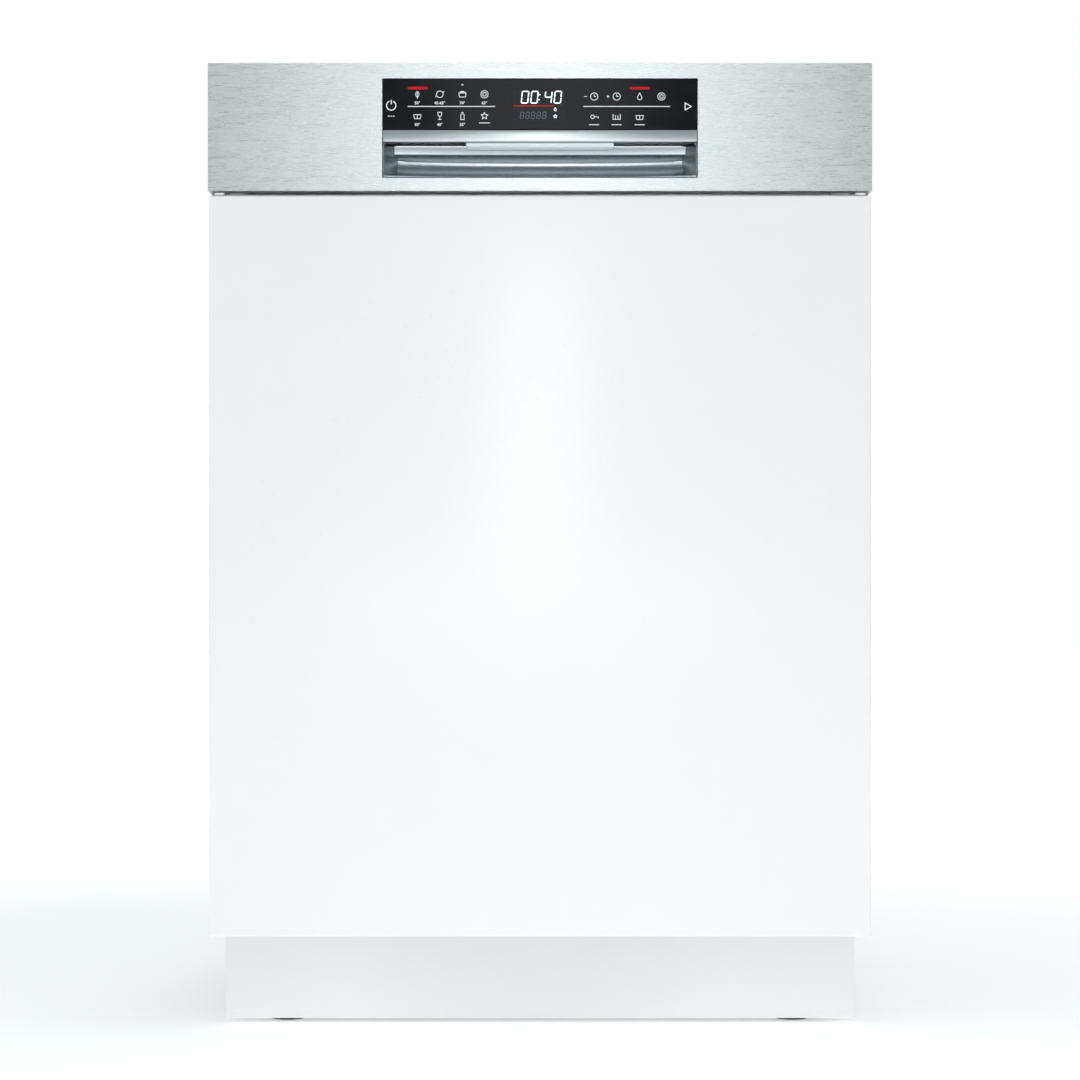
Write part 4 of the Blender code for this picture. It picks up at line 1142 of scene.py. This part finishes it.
def addLattice(mesh, low, high, wall, bars, levels):
    # open walls: uprights round the outside and flat bands at some heights, on a barred floor
    for z0, z1 in levels:
        for y0 in (low.y, high.y - wall):
            addBlock(mesh, (low.x, y0, z0), (high.x, y0 + wall, z1), 0.0004, 1)
        for x0 in (low.x, high.x - wall):
            addBlock(mesh, (x0, low.y, z0), (x0 + wall, high.y, z1), 0.0004, 1)
    for x in evenly(low.x + 0.0022, high.x - 0.0022, bars[0]):
        for y0 in (low.y + 0.0002, high.y - wall + 0.0002):
            addBlock(mesh, (x - 0.0020, y0, low.z), (x + 0.0020, y0 + wall - 0.0004, high.z), 0.0004, 1)
        addBlock(mesh, (x - 0.0014, low.y, low.z), (x + 0.0014, high.y, low.z + wall), 0.0004, 1)
    for y in evenly(low.y + 0.0022, high.y - 0.0022, bars[1]):
        for x0 in (low.x + 0.0002, high.x - wall + 0.0002):
            addBlock(mesh, (x0, y - 0.0020, low.z), (x0 + wall - 0.0004, y + 0.0020, high.z), 0.0004, 1)
        addBlock(mesh, (low.x, y - 0.0014, low.z + 0.0002), (high.x, y + 0.0014, low.z + wall - 0.0002),
                 0.0004, 1)


cutleryBasketSetup = {"wall": 0.0022, "bars": (11, 7), "bands": ((0, 0.010), (0.040, 0.044),
                                                                 (0.074, 0.078)),
                      "topBand": 0.022, "handle": 0.0030, "handleBend": 0.012, "handleRise": 0.020}


def makeCutleryBasket(setup):
    low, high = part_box("cutlery_basket")
    walls = bmesh.new()
    levels = [(low.z + foot, low.z + top) for foot, top in setup["bands"]]
    levels.append((high.z - setup["topBand"], high.z))
    addLattice(walls, low, high, setup["wall"], setup["bars"], levels)
    addBlock(walls, (-0.0011, low.y + 0.001, low.z + 0.001), (0.0011, high.y - 0.001, high.z - 0.001),
             0.0004, 1)
    finishPiece("cutleryBasketWalls", walls, "cutlery_basket", "greyPlastic", standsFor=True)
    mesh = bmesh.new()
    middle = (low.y + high.y) / 2
    bend = arcPoints((low.x * 0.66 + setup["handleBend"], high.z + setup["handleRise"]),
                     setup["handleBend"], 180, 90, 5)
    handle = [(low.x * 0.72, middle, high.z - 0.004)] + [(x, middle, z) for x, z in bend]
    handle += [(-x, y, z) for x, y, z in reversed(handle)]
    addPath(mesh, handle, setup["handle"], 8)
    top, bottom = high.z - 0.0040, high.z - 0.0060
    for x in evenly(low.x + 0.016, high.x - 0.016, 6):
        addBlock(mesh, (x - 0.0008, low.y + 0.001, bottom), (x + 0.0008, high.y - 0.001, top))
    for y in evenly(low.y + 0.016, high.y - 0.016, 4):
        addBlock(mesh, (low.x + 0.001, y - 0.0008, bottom + 0.0002),
                 (high.x - 0.001, y + 0.0008, top - 0.0002))
    finishPiece("cutleryBasketGrid", mesh, "cutlery_basket", "greyPlastic", 0.0002)


def makeCupShelf():
    refineNode("cup_shelf", "greyPlastic", 0.0009)
    low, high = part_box("cup_shelf")
    mesh = bmesh.new()
    addRod(mesh, (-0.2330, low.y - 0.002, 0.6450), (-0.2330, high.y + 0.002, 0.6450), 0.0028, 12)
    for y in evenly(low.y + 0.010, high.y - 0.010, 14):
        addBlock(mesh, (low.x + 0.008, y - 0.0011, low.z + 0.0010),
                 (high.x - 0.002, y + 0.0011, high.z + 0.0012), 0.0005, 1)
    finishPiece("cupShelfRibs", mesh, "cup_shelf", "greyPlastic", 0.0002)


drawerSetup = {"low": (-0.245, -0.190, 0.775), "high": (0.245, 0.230, 0.814), "ribCount": 17,
               "ribHeight": 0.7860, "wave": 0.0045, "degreesPerMetre": 4800, "rib": 0.0011,
               "dividers": (-0.082, 0.082), "handleHalf": 0.070}


def makeCutleryDrawer(setup):
    refineNode("cutlery_drawer", "greyPlastic", 0.0010)
    low, high = Vector(setup["low"]), Vector(setup["high"])
    ribs = bmesh.new()
    for x in evenly(low.x + 0.030, high.x - 0.030, setup["ribCount"]):
        # a wavy rib: cutlery lies in its dips
        wave = [(x, y, setup["ribHeight"]
                 + setup["wave"] * math.cos(math.radians(y * setup["degreesPerMetre"])))
                for y in evenly(low.y + 0.018, high.y - 0.018, 80)]
        addPath(ribs, wave, setup["rib"], 6)
    finishPiece("cutleryDrawerRibs", ribs, "cutlery_drawer", "wireCoat", smoothAngle=45)
    trims = bmesh.new()
    for x in setup["dividers"]:
        addBlock(trims, (x - 0.0016, low.y + 0.002, low.z + 0.002),
                 (x + 0.0016, high.y - 0.002, high.z - 0.006), 0.0006)
    addHandle(trims, low, high, setup["handleHalf"])
    finishPiece("cutleryDrawerTrims", trims, "cutlery_drawer", "greyPlastic")


makeLowerBasket(lowerBasketSetup)
makeUpperBasket(upperBasketSetup)
makeTineRow("tine_row_left", -1, tineRowSetup)
makeTineRow("tine_row_right", 1, tineRowSetup)
for wheel in [node for node in nodes if node.startswith("wheel_")]:
    makeWheel(wheel, wheelSetup)
makeCutleryBasket(cutleryBasketSetup)
makeCupShelf()
makeCutleryDrawer(drawerSetup)
for runner in ("rail_runner_left", "rail_runner_right"):
    refineNode(runner, "tubSteel", 0.0008)
print("baskets finished")


# tub, its fittings and the spray arms

tubSetup = {"half": 0.2773, "floor": 0.1897, "ceiling": 0.8638, "front": -0.2195, "back": 0.2673,
            "buried": 0.0006, "cove": 0.020, "floorCove": 0.010, "coveSteps": 6, "emboss": 0.0010,
            "embossBevel": 0.0009, "sideFields": ((0.225, 0.400), (0.425, 0.585), (0.645, 0.770)),
            "sideRibs": (-0.080, 0.030, 0.140), "columns": ((-0.230, -0.030), (0.030, 0.230)),
            "backFields": ((0.230, 0.500), (0.530, 0.820))}


def addCove(mesh, corner, away, start, end, radius, steps):
    # a hollow fillet along Y; away is the sign of x and z towards the room inside the corner
    outline = [(corner[0], start, corner[1])]
    for i in range(steps + 1):
        angle = math.pi / 2 * i / steps
        outline.append((corner[0] + away[0] * radius * (1 - math.sin(angle)), start,
                        corner[1] + away[1] * radius * (1 - math.cos(angle))))
    addPrism(mesh, outline, (0, end - start, 0))


def makeTub(setup):
    refineNode("tub", "tubSteel", 0.0003)
    half, floor, ceiling = setup["half"], setup["floor"], setup["ceiling"]
    front, back, buried = setup["front"], setup["back"], setup["buried"]
    emboss, edge = setup["emboss"], setup["embossBevel"]
    mesh = bmesh.new()
    for x in (-1, 1):
        for height, away, radius in ((ceiling + buried, (-x, -1), setup["cove"]),
                                     (floor - buried, (-x, 1), setup["floorCove"])):
            addCove(mesh, (x * (half + buried), height), away, front + 0.001, back, radius,
                    setup["coveSteps"])
    bmesh.ops.recalc_face_normals(mesh, faces=mesh.faces)
    # raised panels pressed into the side walls, the back and the ceiling
    for x in (-1, 1):
        xs = sidePair(x, half - emboss, half + buried)
        for low, high in setup["sideFields"]:
            addBlock(mesh, (xs[0], -0.170, low), (xs[1], 0.215, high), edge, 3)
        for y in setup["sideRibs"]:
            addBlock(mesh, (xs[0] - x * 0.0008, y - 0.0045, 0.250), (xs[1] - x * 0.0008, y + 0.0045, 0.375),
                     edge, 3)
    for x0, x1 in setup["columns"]:
        for z0, z1 in setup["backFields"]:
            addBlock(mesh, (x0, back - emboss, z0), (x1, back + buried, z1), edge, 3)
            addBlock(mesh, (x0 + 0.020, back - 2 * emboss, z0 + 0.020),
                     (x1 - 0.020, back - emboss + 0.0003, z1 - 0.020), edge, 3)
        addBlock(mesh, (x0, -0.170, ceiling - emboss), (x1, 0.210, ceiling + buried), edge, 3)
    finishPiece("tubPressings", mesh, "tub", "tubSteel", smoothAngle=45)


def makeGasket():
    refineNode("tub_gasket", "sealRubber", 0.0012, 3)
    low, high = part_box("tub_gasket")
    mesh = bmesh.new()
    for inset, radius in ((0.0025, 0.0014), (0.0065, 0.0016)):
        ring = roundedRing((low.x + inset, low.z + inset), (high.x - inset, high.z - inset), 0, 0.004)
        addPath(mesh, [(x, low.y + 0.0008, z) for x, z, flat in ring], radius, 8, True)
    finishPiece("tubGasketLips", mesh, "tub_gasket", "sealRubber", smoothAngle=60)


def addScrew(mesh, place, axis, radius=0.0032):
    # a pan head with its cross recess, standing on a surface
    direction = Vector(axis)
    place = Vector(place)
    addRod(mesh, place - direction * 0.0002, place + direction * 0.0010, radius, 16, radius * 0.92)
    addRod(mesh, place + direction * 0.0009, place + direction * 0.0017, radius * 0.9, 16, radius * 0.55)
    turn = direction.to_track_quat("Z", "Y").to_matrix().to_4x4()
    for angle in (0, 90):
        bar = (Matrix.Translation(place + direction * 0.0016) @ turn
               @ Matrix.Rotation(math.radians(angle), 4, "Z")
               @ Matrix.Diagonal((radius * 1.0, radius * 0.22, 0.0005, 1)))
        bmesh.ops.create_cube(mesh, size=1.0, matrix=bar)


linerSetup = {"field": -0.2105, "fields": ((0.225, 0.415), (0.625, 0.835)), "edge": 0.0007,
              "screwX": 0.2775, "screwY": -0.2265, "screwHeights": (0.200, 0.420, 0.640, 0.860)}


def makeLiner(setup):
    refineNode("door_liner", "tubSteel", 0.0014, 3)
    mesh = bmesh.new()
    field, edge = setup["field"], setup["edge"]
    for z0, z1 in setup["fields"]:
        addBlock(mesh, (-0.235, field - 0.0006, z0), (0.235, field + 0.0008, z1), edge, 3)
        addBlock(mesh, (-0.205, field + 0.0004, z0 + 0.025), (0.205, field + 0.0016, z1 - 0.025),
                 edge, 3)
    for x in (-0.215, 0.120):
        addBlock(mesh, (x, field - 0.0006, 0.445), (x + 0.095, field + 0.0008, 0.595), edge, 3)
    finishPiece("doorLinerPressings", mesh, "door_liner", "tubSteel", smoothAngle=45)
    screws = bmesh.new()
    for x in (-setup["screwX"], setup["screwX"]):
        for z in setup["screwHeights"]:
            addScrew(screws, (x, setup["screwY"], z), (0, 1, 0))
    finishPiece("doorLinerScrews", screws, "door_liner", "springSteel", smoothAngle=40)


dispenserSetup = {"front": -0.2050, "dialX": 0.068, "dialHeight": 0.548, "dialRadius": 0.0205,
                  "dialDots": 12, "screwX": 0.0985, "screwHeights": (0.4420, 0.5930),
                  "guides": (-0.094, -0.016)}


def makeDispenser(setup):
    refineNode("dispenser_body", "greyPlastic", 0.0010, 3)
    refineNode("detergent_lid", "greyPlastic", 0.0010, 3)
    refineNode("rinse_aid_flap", "blueAccent", 0.0008, 3)
    body, lid, flap = bmesh.new(), bmesh.new(), bmesh.new()
    front = setup["front"]
    addBlock(body, (0.0655, front - 0.0005, 0.5330), (0.0705, front + 0.0040, 0.5630), 0.0012, 3)
    for turn in range(setup["dialDots"]):
        # dots round the dosing dial
        angle = math.tau * turn / setup["dialDots"]
        x = setup["dialX"] + setup["dialRadius"] * math.cos(angle)
        z = setup["dialHeight"] + setup["dialRadius"] * math.sin(angle)
        addRod(body, (x, front - 0.0028, z), (x, front - 0.0018, z), 0.0008, 8)
    for x in (-setup["screwX"], setup["screwX"]):
        for z in setup["screwHeights"]:
            addScrew(body, (x, front - 0.0025, z), (0, 1, 0), 0.0026)
    for x in setup["guides"]:
        addBlock(body, (x - 0.0012, -0.2080, 0.450), (x + 0.0012, -0.2060, 0.585), 0.0006, 2)
    finishPiece("dispenserDetails", body, "dispenser_body", "greyPlastic", 0.0002)
    low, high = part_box("detergent_lid")
    addBlock(lid, (low.x + 0.006, high.y - 0.0003, low.z + 0.006),
             (high.x - 0.006, high.y + 0.0006, high.z - 0.020), 0.0004, 2)
    addBlock(lid, (low.x + 0.020, high.y - 0.0003, high.z - 0.014),
             (high.x - 0.020, high.y + 0.0030, high.z - 0.004), 0.0012, 3)
    finishPiece("detergentLidGrip", lid, "detergent_lid", "greyPlastic", 0.0002)
    low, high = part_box("rinse_aid_flap")
    for x in evenly(low.x + 0.012, high.x - 0.012, 5):
        addBlock(flap, (x - 0.0008, high.y - 0.0003, low.z + 0.006),
                 (x + 0.0008, high.y + 0.0007, high.z - 0.006), 0.0003, 1)
    finishPiece("rinseAidFlapRibs", flap, "rinse_aid_flap", "blueAccent")


sprayArmSetup = {
    "lower_spray_arm": {"centre": (0.0, 0.023), "reach": 0.212, "bladeTop": 0.2265, "jets": 6},
    "upper_spray_arm": {"centre": (0.0, 0.020), "reach": 0.198, "bladeTop": 0.5085, "jets": 5},
}


def makeSprayArm(node, setup):
    refineNode(node, "armPlastic", 0.0022, 3)
    centre, bladeTop = setup["centre"], setup["bladeTop"]
    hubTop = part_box(node)[1].z
    mesh = bmesh.new()
    for side in (-1, 1):
        for distance in evenly(0.055, setup["reach"] - 0.020, setup["jets"]):
            y = centre[1] + (0.006 if round(distance * 1000) % 2 else -0.006)
            spot = (centre[0] + side * distance, y)
            profile = [(0.0016, bladeTop + 0.0004), (0.0016, bladeTop + 0.0018),
                       (0.0030, bladeTop + 0.0018), (0.0048, bladeTop - 0.0004),
                       (0.0016, bladeTop - 0.0004), (0.0016, bladeTop + 0.0004)]
            addTurned(mesh, profile, spot, 16)
    hub = [(0.0, hubTop - 0.0008), (0.0, hubTop + 0.0010), (0.0090, hubTop + 0.0010),
           (0.0100, hubTop), (0.0190, hubTop - 0.0002), (0.0190, hubTop - 0.0008), (0.0, hubTop - 0.0008)]
    addTurned(mesh, hub, centre, 32)
    finishPiece(node + "Jets", mesh, node, "greyPlastic", smoothAngle=35)


saltCapSetup = {"ringRadius": 0.0338, "ribs": 28, "foot": 0.1900, "top": 0.1975, "rib": 0.0009}


def makeFilters(capSetup):
    refineNode("filter_plate", "filterMesh", 0.0003)
    refineNode("filter_cylinder", "filterMesh", 0.0006)
    refineNode("salt_cap", "greyPlastic", 0.0010, 3)
    refineNode("ceiling_spray_head", "greyPlastic", 0.0015, 3)
    centre = centreOf("filter_cylinder")
    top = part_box("filter_cylinder")[1].z
    mesh = bmesh.new()
    rim = [(0.0290, top - 0.0010), (0.0290, top + 0.0012), (0.0310, top + 0.0024), (0.0345, top + 0.0024),
           (0.0362, top + 0.0010), (0.0362, top - 0.0060), (0.0352, top - 0.0060), (0.0352, top - 0.0010),
           (0.0290, top - 0.0010)]
    addTurned(mesh, rim, (centre.x, centre.y), 48)
    for x in (-0.0020, 0.0020):
        addBlock(mesh, (centre.x - 0.0295, centre.y + x - 0.0012, top - 0.012),
                 (centre.x + 0.0295, centre.y + x + 0.0012, top + 0.0015), 0.0005, 2)
    finishPiece("filterHandle", mesh, "filter_cylinder", "greyPlastic", smoothAngle=40)
    cap = bmesh.new()
    spot = centreOf("salt_cap")
    addRodRing(cap, spot, capSetup["ringRadius"], capSetup["ribs"], capSetup["foot"],
               capSetup["top"], capSetup["rib"], 8)
    finishPiece("saltCapGrip", cap, "salt_cap", "greyPlastic", smoothAngle=45)


makeTub(tubSetup)
makeGasket()
makeLiner(linerSetup)
makeDispenser(dispenserSetup)
for arm, armSetup in sprayArmSetup.items():
    makeSprayArm(arm, armSetup)
makeFilters(saltCapSetup)
print("tub and fittings finished")


# base, back and what hangs on the outside

springSetup = {"wire": 0.0011, "turns": 34, "perTurn": 12}
footSetup = {"threadFoot": 0.0142, "pitch": 0.0014, "lugs": 6, "lugRing": 0.0150}


def makeSpring(node, setup):
    low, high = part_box(node)
    middle = centreOf(node)
    wire, turns, perTurn = setup["wire"], setup["turns"], setup["perTurn"]
    radius = (high.x - low.x) / 2 - wire
    start, end = low.y + 0.006, high.y - 0.006
    coil = []
    for i in range(turns * perTurn + 1):
        angle = math.tau * i / perTurn
        coil.append((middle.x + radius * math.cos(angle), start + (end - start) * i / (turns * perTurn),
                     middle.z + radius * math.sin(angle)))
    coil = [(middle.x, low.y + wire, middle.z), (middle.x, start - 0.0015, middle.z)] + coil
    coil += [(middle.x, end + 0.0015, middle.z), (middle.x, high.y - wire, middle.z)]
    finishPiece(node + "Coil", addPath(bmesh.new(), coil, wire, 6), node, "springSteel",
                smoothAngle=60, standsFor=True)


def makeFoot(node, setup):
    centre = centreOf(node)
    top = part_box(node)[1].z
    profile = [(0.0, 0.0), (0.0172, 0.0), (0.0180, 0.0010), (0.0180, 0.0062), (0.0172, 0.0076),
               (0.0110, 0.0085), (0.0082, 0.0088), (0.0082, 0.0135), (0.0050, 0.0138)]
    height = setup["threadFoot"]
    while height < top - 0.0020:
        profile += [(0.0060, height + 0.0004), (0.0052, height + 0.0010)]
        height += setup["pitch"]
    profile += [(0.0050, top - 0.0004), (0.0042, top), (0.0, top)]
    mesh = addTurned(bmesh.new(), profile, (centre.x, centre.y), 32)
    addRodRing(mesh, centre, setup["lugRing"], setup["lugs"], 0.0070, 0.0086, 0.0017, 10)
    finishPiece(node + "Turned", mesh, node, "blackPlastic", smoothAngle=35, standsFor=True)


baseTraySetup = {"buried": 0.0006, "proud": 0.0018, "halfRib": 0.0015, "edge": 0.0006,
                 "sideRibs": 9, "backRibs": 9, "floorRibs": 7}


def makeBaseTray(setup):
    refineNode("base_tray", "basePlastic", 0.0016, 3)
    low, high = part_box("base_tray")
    buried, proud, rib, edge = (setup[key] for key in ("buried", "proud", "halfRib", "edge"))
    mesh = bmesh.new()
    for side in (-1, 1):
        xs = sidePair(side, high.x - buried, high.x + proud)
        for y in evenly(low.y + 0.030, high.y - 0.030, setup["sideRibs"]):
            addBlock(mesh, (xs[0], y - rib, low.z + 0.004), (xs[1], y + rib, high.z - 0.012), edge, 1)
        addBlock(mesh, (xs[0], low.y + 0.010, high.z - 0.014), (xs[1], high.y - 0.010, high.z - 0.010),
                 edge, 1)
    for x in evenly(-0.170, 0.255, setup["backRibs"]):
        addBlock(mesh, (x - rib, high.y - buried, low.z + 0.004),
                 (x + rib, high.y + proud, high.z - 0.012), edge, 1)
    for x in evenly(-0.240, 0.240, setup["floorRibs"]):
        addBlock(mesh, (x - rib, low.y + 0.020, low.z - proud), (x + rib, high.y - 0.020, low.z + buried),
                 edge, 1)
    finishPiece("baseTrayRibs", mesh, "base_tray", "basePlastic")


backPanelSetup = {"fields": ((0.225, 0.400), (0.430, 0.620), (0.650, 0.830)),
                  "ribs": (0.285, 0.340, 0.500, 0.550, 0.710, 0.765), "halfRib": 0.006,
                  "sideScrews": 5, "topScrews": (-0.150, 0.0, 0.150), "screwInset": 0.012}


def makeBackPanel(setup):
    refineNode("back_panel", "galvanised", 0.0008)
    low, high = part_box("back_panel")
    face = high.y
    mesh = bmesh.new()
    for z0, z1 in setup["fields"]:
        addBlock(mesh, (low.x + 0.035, face - 0.0006, z0), (high.x - 0.035, face + 0.0011, z1), 0.0009, 3)
    for z in setup["ribs"]:
        addBlock(mesh, (low.x + 0.070, face + 0.0005, z - setup["halfRib"]),
                 (high.x - 0.070, face + 0.0024, z + setup["halfRib"]), 0.0010, 3)
    finishPiece("backPanelPressings", mesh, "back_panel", "galvanised", smoothAngle=45)
    screws, inset = bmesh.new(), setup["screwInset"]
    for x in (low.x + inset, high.x - inset):
        for z in evenly(low.z + 0.020, high.z - 0.020, setup["sideScrews"]):
            addScrew(screws, (x, face, z), (0, 1, 0))
    for x in setup["topScrews"]:
        addScrew(screws, (x, face, high.z - inset), (0, 1, 0))
    finishPiece("backPanelScrews", screws, "back_panel", "springSteel", smoothAngle=40)
    plate = addBlock(bmesh.new(), (0.150, face + 0.0008, 0.205), (0.235, face + 0.0014, 0.222), 0.0002, 1)
    finishPiece("blankRatingPlate", plate, "back_panel", "satinSilver")


tankSetup = {"sunk": 0.0012, "rows": 8, "channel": 0.0024, "seam": 0.0020}


def makeTank(setup):
    refineNode("water_tank", "palePlastic", 0.0026, 3)
    low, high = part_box("water_tank")
    mesh = bmesh.new()
    x, seam = low.x + setup["sunk"], setup["seam"]
    route = []
    for i, z in enumerate(evenly(low.z + 0.040, high.z - 0.040, setup["rows"])):
        ends = (low.y + 0.030, high.y - 0.030)
        near, far = ends if i % 2 == 0 else ends[::-1]
        route += [(x, near, z), (x, far, z)]
    addPath(mesh, route, setup["channel"], 8)
    for y in (low.y + 0.008, high.y - 0.008):
        addPath(mesh, [(x, y, low.z + 0.010), (x, y, high.z - 0.010)], seam, 8)
    for z in (low.z + 0.012, high.z - 0.012):
        addPath(mesh, [(x, low.y + 0.008, z), (x, high.y - 0.008, z)], seam, 8)
    finishPiece("waterTankChannels", mesh, "water_tank", "palePlastic", smoothAngle=60)


fittingSetup = {"screwXs": (-0.262, -0.150, -0.060, 0.060, 0.150, 0.262), "traverseTop": 0.8773,
                "traverseY": -0.2000, "rivetX": 0.2912, "rivetYs": (-0.215, -0.160),
                "rivetHeight": 0.1620}


def makeOutsideFittings(setup):
    refineNode("inlet_valve", "palePlastic", 0.0010, 3)
    screws = bmesh.new()
    for x in setup["screwXs"]:
        addScrew(screws, (x, setup["traverseY"], setup["traverseTop"]), (0, 0, 1))
    finishPiece("traverseScrews", screws, "top_traverse", "springSteel", smoothAngle=40)
    rivets = bmesh.new()
    for side in (-1, 1):
        for y in setup["rivetYs"]:
            addScrew(rivets, (side * setup["rivetX"], y, setup["rivetHeight"]), (side, 0, 0), 0.0026)
    finishPiece("hingeRivets", rivets, "top_traverse", "springSteel", smoothAngle=40)


matSetup = {
    "tapes": (-0.060, 0.110), "halfTape": 0.019,
    # first y, last y, foot and top of the second layers at the side
    "sideLayers": ((-0.190, 0.010, 0.540, 0.850), (0.030, 0.240, 0.540, 0.850),
                   (-0.190, 0.010, 0.225, 0.515), (0.030, 0.240, 0.225, 0.515)),
    "topLayers": ((-0.190, -0.086), (-0.034, 0.084), (0.136, 0.240)), "topPins": (-0.215, 0.0, 0.215),
    "pinInset": 0.018, "pin": (0.0065, 20, 0.0052)}


def makeMatDetails(setup):
    # foil tape over the mat's seams, second felt layers, and the pins that hold them
    low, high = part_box("insulation_mat")
    tape, pads, pins = bmesh.new(), bmesh.new(), bmesh.new()
    for y in setup["tapes"]:
        addBlock(tape, (low.x + 0.004, y - setup["halfTape"], high.z - 0.0003),
                 (high.x - 0.004, y + setup["halfTape"], high.z + 0.0003))
    finishPiece("matTape", tape, "insulation_mat", "galvanised")
    inset, pin = setup["pinInset"], setup["pin"]
    for y0, y1, z0, z1 in setup["sideLayers"]:
        addBlock(pads, (high.x - 0.0006, y0, z0), (high.x + 0.0014, y1, z1), 0.0011, 3)
        for y in (y0 + inset, y1 - inset):
            for z in (z0 + inset, z1 - inset):
                addRod(pins, (high.x + 0.0010, y, z), (high.x + 0.0021, y, z), *pin)
    for y0, y1 in setup["topLayers"]:
        addBlock(pads, (-0.235, y0, high.z - 0.0006), (0.235, y1, high.z + 0.0012), 0.0010, 3)
        for x in setup["topPins"]:
            addRod(pins, (x, (y0 + y1) / 2, high.z + 0.0008), (x, (y0 + y1) / 2, high.z + 0.0019), *pin)
    finishPiece("matLayers", pads, "insulation_mat", "bitumenFelt", smoothAngle=45)
    finishPiece("matPins", pins, "insulation_mat", "blackPlastic", 0.0003)


for spring in ("hinge_spring_left", "hinge_spring_right"):
    makeSpring(spring, springSetup)
for foot in ("foot_front_left", "foot_front_right", "foot_rear"):
    makeFoot(foot, footSetup)
makeBaseTray(baseTraySetup)
makeBackPanel(backPanelSetup)
makeTank(tankSetup)
makeOutsideFittings(fittingSetup)
makeMatDetails(matSetup)
print("base and outside finished")
